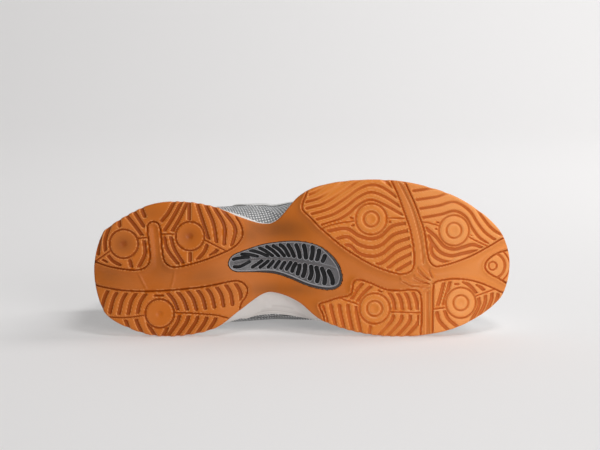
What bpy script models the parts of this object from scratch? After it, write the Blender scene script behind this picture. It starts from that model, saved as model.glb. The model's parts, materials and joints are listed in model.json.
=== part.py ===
"""Right indoor court shoe lying on its medial side, built from separate pieces.

The shoe is modelled in its own frame, in millimetres: x runs from heel to toe, y towards the medial
side and z up from the plane of the tread. One empty then lays the whole shoe on its side.
"""

import math

import bmesh
import bpy
import numpy as np
from mathutils import Matrix, Vector

MM = 0.001

# Driving dimensions of the shoe, in millimetres
LENGTH = 297.0
COLLAR_BACK_HEIGHT = 92.0
ANKLE_HEIGHT = 72.5
INSTEP_HEIGHT = 96.0
THROAT_FRONT_HEIGHT = 67.8
GAP = 0.3

# Outsole
TREAD_DEPTH = 1.8
OUTSOLE_TOP = 5.0
EDGE_CHAMFER = 1.4
TOP_INSET = 0.4
PAD_ROOT = 0.7
HEEL_FLAT_START = 22.0
HEEL_BEVEL = 4.0
ARCH_START = 82.0
ARCH_END = 166.0
ARCH_RISE = 6.0
TOE_SPRING_START = 226.0
TOE_SPRING = 13.0
BEND_STEP = 8.0
LOOP_POINTS = 2
CUT_PAST = 2.0
SHARP_ANGLE = 35.0

# Shank plate in the outsole's window
SHANK_BOTTOM = 2.4
SHANK_RIM = 2.2
SHANK_DISH = 1.0
SHANK_DRAFT = 0.5

# Midsole: how far its lower edge stands back from the outsole's edge
MIDSOLE_SETBACK = 1.0

# Midsole wall from bottom to rim: share of the height, share of the way from edge to rim in plan, and how
# far the wall stands out
MIDSOLE_WALL = ((0.0, 0.0, 0.0), (0.28, 0.18, 0.4), (0.62, 0.58, 0.8), (0.88, 0.92, 0.6), (1.0, 1.0, 0.0))

# Upper, insole, overlays
WALL = 2.2
COLLAR_PAD = 2.6
COLLAR_PAD_END = 0.46
COLLAR_PAD_FADE = 0.12
COLLAR_PAD_START = 0.62
COLLAR_PAD_RISE = 0.2
NORMAL_STEP = 0.02
PROFILE_STEPS = 10
POINTS_PER_SPAN = 2
SWELL_REACH = 1.9
INSOLE_THICKNESS = 4.0
INSOLE_CLEARANCE = 1.0
OVERLAY_GAP = 0.4
OVERLAY_THICKNESS = 0.9

# Tongue and laces
TONGUE_THICKNESS = 4.0
LACE_WIDTH = 6.0
LACE_THICKNESS = 1.6
LACE_CLEARANCE = 0.5
LACE_ARCH = 3.0
LACE_TURN = 0.12
LACE_BRIDGE_POINTS = 3

# Edge of the outsole at each section: station, lateral half width, medial half width
HEEL_TIP = (0.0, 1.8)
TOE_TIP = (LENGTH, -3.0)
SOLE_SECTIONS = (
    (4.3, 20.7, 24.3),
    (13.0, 30.7, 36.5),
    (38.0, 44.2, 47.1),
    (62.0, 47.3, 48.2),
    (86.0, 43.6, 42.9),
    (103.0, 36.5, 30.7),
    (120.0, 31.5, 18.6),
    (131.0, 34.6, 18.0),
    (146.0, 51.3, 24.3),
    (163.0, 59.2, 37.4),
    (190.0, 62.8, 46.0),
    (220.0, 61.6, 48.4),
    (250.0, 54.0, 44.6),
    (272.0, 42.6, 35.6),
    (288.0, 28.8, 23.8),
    (294.5, 17.0, 12.5),
)

# Top rim of the midsole at the same sections: station, lateral half width, medial half width, height
RIM_HEEL_TIP = (3.0, 1.5, 31.0)
RIM_TOE_TIP = (294.0, -3.0, 31.5)
RIM_SECTIONS = (
    (6.8, 18.6, 21.8, 30.7),
    (15.0, 29.0, 32.8, 30.0),
    (38.5, 40.5, 41.4, 28.4),
    (62.0, 42.8, 42.8, 27.2),
    (86.0, 41.4, 43.6, 26.4),
    (103.0, 37.6, 38.8, 26.2),
    (120.0, 33.6, 34.6, 25.8),
    (131.0, 35.2, 34.0, 24.6),
    (146.0, 46.0, 35.8, 22.6),
    (163.0, 54.0, 38.6, 20.6),
    (190.0, 58.6, 42.4, 19.0),
    (220.0, 57.8, 43.8, 19.2),
    (249.0, 51.2, 41.0, 21.6),
    (270.0, 40.2, 33.6, 25.0),
    (285.0, 27.0, 22.2, 28.6),
    (291.3, 15.8, 11.6, 30.6),
)

# Lasted upper at the same sections. Foot: station and half widths of its lower edge. Swell: how far the
# wall stands out past that edge, and the rise of that swell. Rim: station, half widths and height of the
# collar and throat edge. Lead: how the wall arrives at the rim, along x, outwards and in height.
UPPER_HEEL = dict(
    foot=(6.0, 1.0), swell=4.0, rise=27.0, rim=(9.0, 1.0, COLLAR_BACK_HEIGHT), lead=(0.0, 2.0, -20.0)
)
UPPER_TOE = dict(
    foot=(290.5, -3.0), swell=3.4, rise=17.0, rim=(195.7, -5.0, THROAT_FRONT_HEIGHT), lead=(53.0, 0.0, -8.5)
)
# foot x, foot lat, foot med, swell lat, swell med, rise, rim x, rim lat, rim med, rim z, lead x, out, z
UPPER_SECTIONS = (
    (9.6, 16.4, 19.0, 4.0, 4.0, 27.0, 11.0, 14.6, 16.4, 91.0, 0.0, 2.0, -20.0),
    (17.4, 26.6, 29.6, 3.5, 3.5, 27.0, 20.0, 24.2, 25.8, 86.0, 0.0, 2.0, -18.0),
    (39.5, 37.4, 37.6, 2.5, 2.0, 27.0, 42.0, 32.0, 33.0, 76.0, 0.0, 2.0, -16.0),
    (62.0, 39.4, 38.6, 3.0, 1.6, 27.0, 64.0, 34.0, 34.4, ANKLE_HEIGHT, 0.0, 2.0, -15.0),
    (86.0, 38.0, 38.8, 7.0, 3.4, 27.0, 84.0, 34.0, 34.0, 76.0, 0.0, 2.5, -17.0),
    (103.0, 34.4, 35.2, 11.5, 7.0, 27.0, 100.0, 32.0, 31.4, 84.0, 1.0, 4.0, -17.0),
    (120.0, 30.4, 31.4, 15.5, 9.4, 27.0, 112.0, 28.6, 27.6, 92.0, 4.0, 8.0, -15.0),
    (131.0, 32.0, 31.0, 14.5, 8.4, 27.0, 120.0, 26.0, 23.5, INSTEP_HEIGHT, 6.0, 12.0, -12.0),
    (146.0, 42.4, 32.8, 9.0, 6.4, 26.0, 132.0, 23.5, 20.0, 93.0, 8.0, 14.0, -8.0),
    (163.0, 50.4, 35.4, 5.0, 4.2, 25.0, 146.0, 22.5, 18.0, 87.5, 9.0, 15.0, -7.0),
    (190.0, 55.2, 38.6, 4.0, 2.6, 24.0, 162.0, 22.0, 15.5, 81.0, 13.0, 16.0, -6.5),
    (219.0, 54.6, 39.8, 3.5, 1.7, 23.0, 176.0, 21.0, 13.5, 75.5, 20.0, 17.0, -6.5),
    (247.0, 48.0, 37.4, 3.2, 2.4, 21.0, 186.0, 19.0, 10.5, 71.5, 30.0, 14.0, -6.0),
    (267.0, 37.2, 30.8, 3.2, 3.2, 19.0, 191.0, 16.0, 6.5, 69.5, 40.0, 10.0, -6.0),
    (281.5, 24.6, 19.8, 3.4, 3.4, 18.0, 194.0, 11.5, 1.5, 68.4, 48.0, 5.0, -7.0),
    (287.8, 13.8, 9.8, 3.4, 3.4, 17.0, 195.2, 8.0, -2.0, 68.0, 51.0, 2.0, -8.0),
)

# Raised tread pads. Where a pad runs out to the edge of the sole its loop passes outside that edge.
TREAD_PADS = {
    "heel_lateral": (
        (-3, -6.5), (10, -1.2), (24, 1.2), (33, 1.2), (39, -3.5), (40.3, -11), (38.6, -24), (39.5, -31),
        (43, -33), (46.5, -31), (47.8, -24), (49, -11), (51, -4), (57, -0.8), (72, -3.7), (88, -9),
        (98, -13.7), (105, -23), (104.8, -31), (100, -38), (90, -52), (60, -58), (20, -50), (-6, -30),
    ),
    "heel_medial": (
        (-3, 11.5), (10, 14.5), (30, 16.5), (50, 16.2), (72, 14.2), (90, 11), (101, 9.2), (107.5, 13),
        (109, 19), (105, 28), (96, 45), (60, 58), (20, 55), (-6, 30),
    ),
    "ball_lateral": (
        (148, -44), (149.5, -40), (165, -25), (180, -14.5), (195, -5), (207, 0.8), (219, 3.8), (226, 1.5),
        (227.7, -6), (224.5, -26), (219, -44), (212, -60), (208, -70), (180, -72), (152, -62), (149.5, -52),
    ),
    "ball_medial": (
        (160, 25.5), (170, 22.3), (180, 19.7), (183.5, 14.5), (185.5, 9.3), (192, 9.3), (204, 13.8),
        (213, 15.5), (227, 15.3), (232, 18.5), (232.8, 28), (232.5, 42), (230, 54), (190, 56), (168, 46),
        (161.5, 32),
    ),
    "toe_lateral": (
        (222, -68), (225, -52), (231, -37), (235.5, -19), (238, -6), (243, -1.6), (252, -2.3), (266, -7),
        (280, -14.8), (296, -24), (300, -45), (262, -66),
    ),
    "toe_medial": (
        (241.2, 54), (241, 30), (241, 14), (243.5, 9.6), (258, 7.5), (270, 9), (283, 13.7), (296, 20.5),
        (290, 44), (262, 56),
    ),
    "toe_tip": (
        (302, -19), (288, -11.5), (280, -6), (278.3, -1), (281, 3.8), (290, 9), (302, 15.5), (308, 0),
    ),
}

# Leaf outline of the window that shows the shank
WINDOW = (
    (95.3, -3), (99, -9), (110, -14.3), (125, -18.4), (142, -19.7), (156, -17.8), (168, -10), (175.5, 1.5),
    (176.5, 10), (171, 15.6), (158, 14.5), (143, 9), (128, 4), (112, 3), (99, 2.8),
)

# Overlays as patches of the upper: first and last column, then the share of the profile where the patch
# begins and ends, at its first column, in its middle and at its last column.
OVERLAYS = {
    "toe_cap": dict(columns=(25, 47), low=(0.02, 0.02, 0.02), high=(0.10, 0.40, 0.10)),
    "heel_counter": dict(columns=(-9, 9), low=(0.02, 0.02, 0.02), high=(0.20, 0.62, 0.20)),
    "eyestay": dict(columns=(11, 57), low=(0.38, 0.86, 0.68), high=(0.97, 0.97, 0.97)),
}

# Eyelets: column of each pair, from the front of the throat to its top, and share of the profile
EYELET_COLUMNS = (26.2, 24.4, 22.7, 21.0, 19.4, 17.7)
EYELET_SHARE = 0.94

# Tongue: station, centre, height of the top face, half width
TONGUE_SECTIONS = (
    (203.0, -5.4, 60.0, 16.0),
    (188.0, -4.6, 66.2, 18.5),
    (172.0, -3.6, 74.2, 22.0),
    (156.0, -2.8, 81.2, 24.0),
    (140.0, -2.0, 88.2, 25.0),
    (126.0, -1.4, 94.6, 24.0),
    (115.0, -1.0, 103.4, 23.0),
    (107.0, -0.8, 112.0, 26.0),
    (102.0, -0.6, 121.0, 25.0),
)
TONGUE_CROWN = 7.6
TONGUE_POINTS = 9

GUM = (0.62, 0.22, 0.05, 1.0)
WHITE = (0.82, 0.82, 0.81, 1.0)
GREY_MESH = (0.36, 0.38, 0.40, 1.0)
DARK_PLASTIC = (0.06, 0.06, 0.065, 1.0)
GREY_FOAM = (0.28, 0.29, 0.30, 1.0)


def lift(x):
    """Height that heel bevel, arch and toe spring add to the flat sole at station x."""
    x = np.asarray(x, float)
    heel = HEEL_BEVEL * (np.clip(HEEL_FLAT_START - x, 0, None) / HEEL_FLAT_START) ** 2
    along = np.clip((x - ARCH_START) / (ARCH_END - ARCH_START), 0, 1)
    arch = ARCH_RISE * np.sin(math.pi * along) ** 2
    toe = TOE_SPRING * (np.clip(x - TOE_SPRING_START, 0, None) / (LENGTH - TOE_SPRING_START)) ** 2
    return heel + arch + toe


def smooth_loop(points, per_span):
    """Closed Catmull-Rom curve through points, with per_span samples to each span."""
    points = np.asarray(points, float)
    before, here = np.roll(points, 1, 0), points
    after, beyond = np.roll(points, -1, 0), np.roll(points, -2, 0)
    samples = []
    for t in np.arange(per_span) / per_span:
        samples.append(
            here
            + 0.5 * t * (after - before)
            + 0.5 * t**2 * (2 * before - 5 * here + 4 * after - beyond)
            + 0.5 * t**3 * (3 * here - before - 3 * after + beyond)
        )
    return np.stack(samples, 1).reshape(-1, points.shape[1])


def around(heel, sections, toe):
    """Control points in order: heel, up the lateral side, toe, back down the medial side."""
    lateral = [(row[0], -row[1], *row[3:]) for row in sections]
    medial = [(row[0], row[2], *row[3:]) for row in reversed(sections)]
    return np.array([heel, *lateral, toe, *medial], float)


def sole_ring():
    """Outline of the outsole in plan."""
    return smooth_loop(around(HEEL_TIP, SOLE_SECTIONS, TOE_TIP), POINTS_PER_SPAN)


def rim_ring():
    """Top rim of the midsole, with its height."""
    return smooth_loop(around(RIM_HEEL_TIP, RIM_SECTIONS, RIM_TOE_TIP), POINTS_PER_SPAN)


def rim_height(x):
    """Height of the midsole's top at station x, the same right across the shoe."""
    stations = [RIM_HEEL_TIP[0], *(row[0] for row in RIM_SECTIONS), RIM_TOE_TIP[0]]
    heights = [RIM_HEEL_TIP[2], *(row[3] for row in RIM_SECTIONS), RIM_TOE_TIP[2]]
    return np.interp(x, stations, heights)


def outward(ring):
    """Unit normals of a plan loop, pointing out of it."""
    along = np.roll(ring[:, :2], -1, 0) - np.roll(ring[:, :2], 1, 0)
    normal = np.stack([along[:, 1], -along[:, 0]], 1)
    normal /= np.linalg.norm(normal, axis=1, keepdims=True)
    centre = ring[:, :2].mean(0)
    inside_out = ((ring[:, :2] - centre) * normal).sum() < 0
    return -normal if inside_out else normal


def material(name, colour, roughness):
    """Plain finish of one piece."""
    made = bpy.data.materials.new(name)
    made.use_nodes = True
    shader = made.node_tree.nodes["Principled BSDF"]
    shader.inputs["Base Color"].default_value = colour
    shader.inputs["Roughness"].default_value = roughness
    shader.inputs["Metallic"].default_value = 0.0
    return made


def piece(name, points, faces, finish=None):
    """Object made of points in millimetres, with its faces turned outwards."""
    mesh = bpy.data.meshes.new(name)
    mesh.from_pydata((np.asarray(points, float) * MM).tolist(), [], [list(map(int, f)) for f in faces])
    tidy(mesh)
    made = bpy.data.objects.new(name, mesh)
    bpy.context.scene.collection.objects.link(made)
    if finish:
        mesh.materials.append(finish)
    return made


def tidy(mesh):
    """Merges doubles, turns the faces outwards and shades round faces smooth."""
    shape = bmesh.new()
    shape.from_mesh(mesh)
    bmesh.ops.remove_doubles(shape, verts=shape.verts, dist=1e-6)
    bmesh.ops.recalc_face_normals(shape, faces=shape.faces)
    shape.to_mesh(mesh)
    shape.free()
    mesh.shade_smooth()
    mesh.set_sharp_from_angle(angle=math.radians(SHARP_ANGLE))


def stacked_rings(rings):
    """Points and side faces of closed rings that lie one above the other."""
    count = len(rings[0])
    faces = []
    for level in range(len(rings) - 1):
        for i in range(count):
            j = (i + 1) % count
            low, high = level * count, (level + 1) * count
            faces.append((low + i, low + j, high + j, high + i))
    return np.concatenate(rings), faces


def cross_cap(count, offset):
    """Faces that close a ring by joining its lateral and medial points, station by station."""
    faces = [(offset, offset + 1, offset + count - 1)]
    for i in range(1, count // 2 - 1):
        faces.append((offset + i, offset + i + 1, offset + count - i - 1, offset + count - i))
    half = count // 2
    faces.append((offset + half - 1, offset + half, offset + half + 1))
    return faces


def ring_solid(name, rings, finish):
    """Closed solid from rings: side walls and caps whose faces run straight across the shoe."""
    points, faces = stacked_rings(rings)
    count = len(rings[0])
    faces += cross_cap(count, 0) + cross_cap(count, (len(rings) - 1) * count)
    return piece(name, points, faces, finish)


def prism(name, loop, low, high):
    """Upright prism on a plan loop, kept as a helper for cutting and joining."""
    count = len(loop)
    rings = [np.column_stack([loop, np.full(count, z)]) for z in (low, high)]
    points, faces = stacked_rings(rings)
    made = piece(name, points, [*faces, tuple(range(count)), tuple(range(count, 2 * count))])
    return helper(made)


def helper(made):
    """Marks an object as a cutter or a form, not a piece of the shoe."""
    made.hide_render = True
    made.display_type = "WIRE"
    return made


def boolean(target, other, operation):
    """Adds an exact Boolean to target."""
    step = target.modifiers.new(other.name, "BOOLEAN")
    step.operation = operation
    step.solver = "EXACT"
    step.object = other


def applied_mesh(source):
    """Mesh of an object with its modifiers applied."""
    graph = bpy.context.evaluated_depsgraph_get()
    return bpy.data.meshes.new_from_object(source.evaluated_get(graph))


def flat_tread(outline):
    """Flat outsole: a plate with raised pads inside its chamfered edge and the shank's window cut out."""
    normal = outward(outline)
    levels = ((0.0, EDGE_CHAMFER), (EDGE_CHAMFER, 0.0), (OUTSOLE_TOP, TOP_INSET))
    rings = [np.column_stack([outline - normal * inset, np.full(len(outline), z)]) for z, inset in levels]
    whole = helper(ring_solid("form_whole_sole", rings, None))
    plate_rings = [rings[1] + (0, 0, TREAD_DEPTH - EDGE_CHAMFER), rings[2]]
    plate = helper(ring_solid("form_plate", plate_rings, None))
    for name, loop in TREAD_PADS.items():
        pad = prism("form_" + name, smooth_loop(loop, LOOP_POINTS), -CUT_PAST, TREAD_DEPTH + PAD_ROOT)
        boolean(pad, whole, "INTERSECT")
        boolean(plate, pad, "UNION")
    window = prism("form_window", smooth_loop(WINDOW, LOOP_POINTS), -CUT_PAST, OUTSOLE_TOP + CUT_PAST)
    boolean(plate, window, "DIFFERENCE")
    return applied_mesh(plate)


def bend(mesh, stations):
    """Cuts a flat mesh across at the stations, then raises it by heel bevel, arch and toe spring."""
    shape = bmesh.new()
    shape.from_mesh(mesh)
    for x in stations:
        everything = [*shape.verts, *shape.edges, *shape.faces]
        bmesh.ops.bisect_plane(
            shape, geom=everything, dist=1e-7, plane_co=(x * MM, 0, 0), plane_no=(1, 0, 0)
        )
    bmesh.ops.triangulate(shape, faces=shape.faces)
    for vertex in shape.verts:
        vertex.co.z += float(lift(vertex.co.x / MM)) * MM
    shape.to_mesh(mesh)
    shape.free()


def bend_stations():
    """Stations where the sole curves, so its faces have to be cut there."""
    stretches = ((5.0, HEEL_FLAT_START), (ARCH_START, ARCH_END), (TOE_SPRING_START, LENGTH))
    return [x for start, end in stretches for x in np.arange(start, end + 0.1, BEND_STEP)]


def outsole():
    """Gum rubber outsole with its tread pads, arch and toe spring."""
    mesh = flat_tread(sole_ring())
    bend(mesh, bend_stations())
    mesh.materials.clear()
    mesh.materials.append(material("gum_rubber", GUM, 0.55))
    mesh.name = "outsole"
    tidy(mesh)
    made = bpy.data.objects.new("outsole", mesh)
    bpy.context.scene.collection.objects.link(made)
    return made


def shank():
    """Leaf-shaped arch plate with a raised rim, standing in the outsole's window."""
    loop = smooth_loop(WINDOW, LOOP_POINTS)
    normal = outward(loop)
    edge = loop - normal * GAP
    inner = loop - normal * (GAP + SHANK_RIM)
    levels = (
        (inner, SHANK_BOTTOM + SHANK_DISH),
        (inner + normal * SHANK_DRAFT, SHANK_BOTTOM),
        (edge, SHANK_BOTTOM + SHANK_DRAFT),
        (edge, OUTSOLE_TOP),
    )
    count = len(loop)
    points, faces = stacked_rings([np.column_stack([ring, np.full(count, z)]) for ring, z in levels])
    faces += [tuple(range(count)), tuple(range(3 * count, 4 * count))]
    made = piece("shank", points, faces, material("dark_plastic", DARK_PLASTIC, 0.3))
    bend(made.data, bend_stations())
    return made


def midsole():
    """Foam wedge from the outsole's edge to the rim under the upper."""
    low = sole_ring()
    low = low - outward(low) * MIDSOLE_SETBACK
    base = np.column_stack([low, OUTSOLE_TOP + GAP + lift(low[:, 0])])
    rim = rim_ring()
    normal = np.column_stack([outward(rim), np.zeros(len(rim))])
    rings = []
    for height, across, proud in MIDSOLE_WALL:
        ring = base * (1 - across) + rim * across + normal * proud
        ring[:, 2] = base[:, 2] * (1 - height) + rim[:, 2] * height
        rings.append(ring)
    return ring_solid("midsole", rings, material("white_foam", WHITE, 0.6))


def upper_columns():
    """Bezier points of the upper's profile at each control column: foot, swell, lead and rim."""
    ends = (UPPER_HEEL, UPPER_TOE)
    heel, toe = ((*e["foot"], e["swell"], e["rise"], *e["rim"], *e["lead"]) for e in ends)
    lateral = [(r[0], -r[1], r[3], r[5], r[6], -r[7], r[9], *r[10:]) for r in UPPER_SECTIONS]
    medial = [(r[0], r[2], r[4], r[5], r[6], r[8], r[9], *r[10:]) for r in reversed(UPPER_SECTIONS)]
    rows = np.array([heel, *lateral, toe, *medial], float)
    out = np.column_stack([outward(rows[:, :2]), np.zeros(len(rows))])
    foot = np.column_stack([rows[:, :2], rim_height(rows[:, 0]) + GAP])
    rim = rows[:, 4:7]
    up = np.array((0.0, 0.0, 1.0))
    swell = foot + out * rows[:, 2:3] * SWELL_REACH + up * rows[:, 3:4]
    lead = rim + out * rows[:, 8:9] + np.column_stack([rows[:, 7], np.zeros(len(rows)), rows[:, 9]])
    return np.concatenate([foot, swell, lead, rim], 1)


def upper_grid(columns, shares):
    """Outer face of the upper at fractional columns and shares of the profile, both arrays of one shape.

    A column counts points around the shoe: 0 at the heel, up the lateral side, and on past the toe.
    """
    control = smooth_loop(upper_columns(), POINTS_PER_SPAN)
    count = len(control)
    low = np.floor(columns).astype(int)
    part = (columns - low)[..., None]
    spline = control[low % count] * (1 - part) + control[(low + 1) % count] * part
    foot, swell, lead, rim = (spline[..., i : i + 3] for i in (0, 3, 6, 9))
    t = shares[..., None]
    return (1 - t) ** 3 * foot + 3 * t * (1 - t) ** 2 * swell + 3 * t**2 * (1 - t) * lead + t**3 * rim


def upper_normal(columns, shares):
    """Outward unit normals of the upper's outer face."""
    high, low = np.clip(shares + NORMAL_STEP, 0, 1), np.clip(shares - NORMAL_STEP, 0, 1)
    across = upper_grid(columns + 0.5, shares) - upper_grid(columns - 0.5, shares)
    up = upper_grid(columns, high) - upper_grid(columns, low)
    normal = np.cross(across, up)
    return normal / np.linalg.norm(normal, axis=-1, keepdims=True)


def offset_upper(columns, shares, distance):
    """The upper's outer face moved out along its normals by distance."""
    return upper_grid(columns, shares) + upper_normal(columns, shares) * np.asarray(distance)[..., None]


def column_count():
    """Points around the upper."""
    return POINTS_PER_SPAN * (2 * len(UPPER_SECTIONS) + 2)


def wall_thickness(columns, shares):
    """Wall of the upper: thin all over, padded towards the collar behind the throat."""
    half = column_count() / 2
    from_heel = np.minimum(columns, 2 * half - columns) / half
    behind_throat = np.clip((COLLAR_PAD_END - from_heel) / COLLAR_PAD_FADE, 0, 1)
    near_rim = np.clip((shares - COLLAR_PAD_START) / COLLAR_PAD_RISE, 0, 1)
    return WALL + COLLAR_PAD * behind_throat * near_rim


def upper():
    """Hollow lasted shell, open at the collar, the throat and underneath."""
    count = column_count()
    shares = np.linspace(0, 1, PROFILE_STEPS + 1)
    columns, levels = np.meshgrid(np.arange(count, dtype=float), shares, indexing="xy")
    outer = upper_grid(columns, levels)
    inner = offset_upper(columns, levels, -wall_thickness(columns, levels))
    foot_out = outward(outer[0])
    inner[0] = outer[0]
    inner[0, :, :2] -= foot_out * WALL
    rings = [*outer, *inner[::-1], outer[0]]
    points, faces = stacked_rings(rings)
    return piece("upper", points, faces, material("grey_mesh", GREY_MESH, 0.9))


def shell_patch(name, inner, outer, finish):
    """Closed thin shell between two grids of points."""
    rows, cols = inner.shape[:2]
    size = rows * cols
    points = np.concatenate([inner.reshape(-1, 3), outer.reshape(-1, 3)])
    faces = []
    for r in range(rows - 1):
        for c in range(cols - 1):
            a = r * cols + c
            quad = (a, a + 1, a + cols + 1, a + cols)
            faces += [quad, tuple(size + i for i in quad)]
    edge = [*range(cols - 1), *range(cols - 1, size - 1, cols), *range(size - 1, size - cols, -1)]
    edge += list(range(size - cols, 0, -cols))
    for a, b in zip(edge, edge[1:] + edge[:1]):
        faces.append((a, b, size + b, size + a))
    return piece(name, points, faces, finish)


def edge_share(limits, turn):
    """Share of the profile along one edge of an overlay, which swells as a half wave to its middle."""
    first, middle, last = limits
    end = np.where(turn < math.pi / 2, first, last)
    return end + (middle - end) * np.sin(turn)


def overlay(name, columns, low, high):
    """Overlay cut from the upper's own surface: its share limits swell from its ends to its middle."""
    across = np.arange(columns[0], columns[1] + 1, dtype=float)
    turn = np.linspace(0, math.pi, len(across))
    starts, ends = (edge_share(limits, turn) for limits in (low, high))
    steps = max(3, round(float((ends - starts).max()) * PROFILE_STEPS)) + 1
    shares = starts + (ends - starts) * np.linspace(0, 1, steps)[:, None]
    grid = np.broadcast_to(across, shares.shape)
    inner = offset_upper(grid, shares, np.full(shares.shape, OVERLAY_GAP))
    outer = offset_upper(grid, shares, np.full(shares.shape, OVERLAY_GAP + OVERLAY_THICKNESS))
    return shell_patch(name, inner, outer, material(name + "_white", WHITE, 0.45))


def insole():
    """Foam bed on the midsole, clear of the upper's inner wall."""
    foot = upper_grid(np.arange(column_count(), dtype=float), np.zeros(column_count()))
    plan = foot[:, :2] - outward(foot) * (WALL + INSOLE_CLEARANCE)
    rings = []
    for rise in (GAP, GAP + INSOLE_THICKNESS):
        rings.append(np.column_stack([plan, rim_height(plan[:, 0]) + rise]))
    return ring_solid("insole", rings, material("grey_foam", GREY_FOAM, 0.9))


def tongue():
    """Padded strip that lies under the throat and stands up past the collar."""
    across = np.linspace(-1, 1, TONGUE_POINTS)
    table = np.array(TONGUE_SECTIONS)
    path = table[:, [0, 2]]
    along = np.gradient(path, axis=0)
    along /= np.linalg.norm(along, axis=1, keepdims=True)
    normal = np.column_stack([along[:, 1], -along[:, 0]])
    normal *= np.sign(normal[:, 1:2])
    drop = TONGUE_CROWN * across**2
    grids = []
    for depth in (TONGUE_THICKNESS, 0.0):
        fall = drop[None, :] * (table[:, 3:4] / table[:, 3].mean()) ** 2 + depth
        x = path[:, :1] - normal[:, :1] * fall
        z = path[:, 1:] - normal[:, 1:] * fall
        y = table[:, 1:2] + table[:, 3:4] * across[None, :]
        grids.append(np.stack([x, y, z], -1))
    return shell_patch("tongue", *grids, material("tongue_mesh", GREY_MESH, 0.9))


def lace_seat(column, share, side):
    """Middle of the lace where it lies on the eyestay, and the way it faces there.

    Side is -1 on the lateral side and 1 on the medial side.
    """
    place = np.array([column if side < 0 else column_count() - column]), np.array([share])
    rise = OVERLAY_GAP + OVERLAY_THICKNESS + LACE_CLEARANCE + LACE_THICKNESS / 2
    return np.concatenate([offset_upper(*place, np.array([rise]))[0], upper_normal(*place)[0]])


def lace_path(first, second, side):
    """Places and facings of one run, from an eyelet over the throat's edges to an eyelet across from it."""
    turn = LACE_TURN * (second - first)
    knots = np.array([
        lace_seat(first, EYELET_SHARE, side),
        lace_seat(first + turn, 1.0, side),
        lace_seat(second - turn, 1.0, -side),
        lace_seat(second, EYELET_SHARE, -side),
    ])
    steps = np.linspace(0, 1, LACE_BRIDGE_POINTS + 2)[1:-1, None]
    bridge = knots[1] * (1 - steps) + knots[2] * steps
    bridge[:, 2:3] += LACE_ARCH * np.sin(math.pi * steps)
    return np.concatenate([knots[:2], bridge, knots[2:]])


def lace_run(name, path):
    """Flat stretch of lace that follows a path."""
    places, up = path[:, :3], path[:, 3:]
    along = np.gradient(places, axis=0)
    side = np.cross(along, up)
    side /= np.linalg.norm(side, axis=1, keepdims=True)
    up = np.cross(side, along)
    up /= np.linalg.norm(up, axis=1, keepdims=True)
    corners = ((-1, -1), (1, -1), (1, 1), (-1, 1))
    edges = [places + side * (a * LACE_WIDTH / 2) + up * (b * LACE_THICKNESS / 2) for a, b in corners]
    points, faces = stacked_rings(list(np.stack(edges, 1)))
    last = len(points) - len(corners)
    return piece(name, points, [*faces, (0, 1, 2, 3), (last, last + 1, last + 2, last + 3)])


def laces():
    """Criss-cross lacing: one bar at the front, then crossings up to the top eyelets, joined in one solid."""
    made = lace_run("laces", lace_path(EYELET_COLUMNS[0], EYELET_COLUMNS[0], -1))
    for row, (first, second) in enumerate(zip(EYELET_COLUMNS, EYELET_COLUMNS[1:])):
        for side in (-1, 1):
            crossing = lace_run(f"form_lace_{row}_{side}", lace_path(first, second, side))
            boolean(made, helper(crossing), "UNION")
    made.data.materials.append(material("lace_white", WHITE, 0.8))
    return made


def floor_direction(sole_points, upper_points):
    """Direction, in the shoe's frame, of the floor that it lies on.

    The shoe rests on its medial side at three points: the sole's edge at the heel, the sole's edge at the
    ball and the upper. The plane through the three outermost points is found by going round until it stays.
    """
    heel = sole_points[sole_points[:, 0] < LENGTH / 2]
    ball = sole_points[sole_points[:, 0] >= LENGTH / 2]
    down = np.array((0.0, 1.0, 0.15))
    for _ in range(12):
        a, b, c = (group[(group @ down).argmax()] for group in (heel, ball, upper_points))
        down = np.cross(b - a, c - a)
        down *= np.sign(down[1]) / np.linalg.norm(down)
    return down


def points_of(made):
    """Vertices of an object in millimetres, in the shoe's frame."""
    mesh = applied_mesh(made)
    points = np.empty(len(mesh.vertices) * 3)
    mesh.vertices.foreach_get("co", points)
    bpy.data.meshes.remove(mesh)
    return points.reshape(-1, 3) / MM


def lay_down(pieces):
    """Parents pieces and helpers to one empty that lays the shoe on the floor, centred over the origin."""
    shoe = {made.name: points_of(made) for made in pieces}
    sole = ("outsole", "midsole")
    sole_points = np.concatenate([shoe[name] for name in sole])
    upper_points = np.concatenate([points for name, points in shoe.items() if name not in sole])
    up = -floor_direction(sole_points, upper_points)
    forward = np.array((1.0, 0.0, 0.0)) - up[0] * up
    forward /= np.linalg.norm(forward)
    turn = np.array([forward, np.cross(up, forward), up])
    lying = np.concatenate(list(shoe.values())) @ turn.T
    low, high = lying.min(0), lying.max(0)
    shift = -np.array(((low[0] + high[0]) / 2, (low[1] + high[1]) / 2, low[2])) * MM
    frame = bpy.data.objects.new("shoe_frame", None)
    bpy.context.scene.collection.objects.link(frame)
    frame.matrix_world = Matrix.Translation(Vector(shift)) @ Matrix(turn.tolist()).to_4x4()
    for made in bpy.context.scene.collection.objects:
        if made != frame:
            made.parent = frame


def main():
    """Builds every piece of the shoe and lays it on its side."""
    for old in list(bpy.data.objects):
        bpy.data.objects.remove(old)
    pieces = [outsole(), shank(), midsole(), insole(), upper(), tongue()]
    pieces += [overlay(name, **patch) for name, patch in OVERLAYS.items()]
    pieces.append(laces())
    lay_down(pieces)


main()
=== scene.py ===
"""Looks of a right indoor court shoe that lies on its medial side with its tread towards the camera.

Every piece is worked out in the shoe's own millimetres, with x from heel to toe, y to the medial side and z
from the tread to the collar, and is laid down by the heel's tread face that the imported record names.
"""

import json
import logging
from collections.abc import Sequence
from dataclasses import dataclass, field
from enum import Enum
from functools import cached_property
from math import cos, pi, radians, sin

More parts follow.
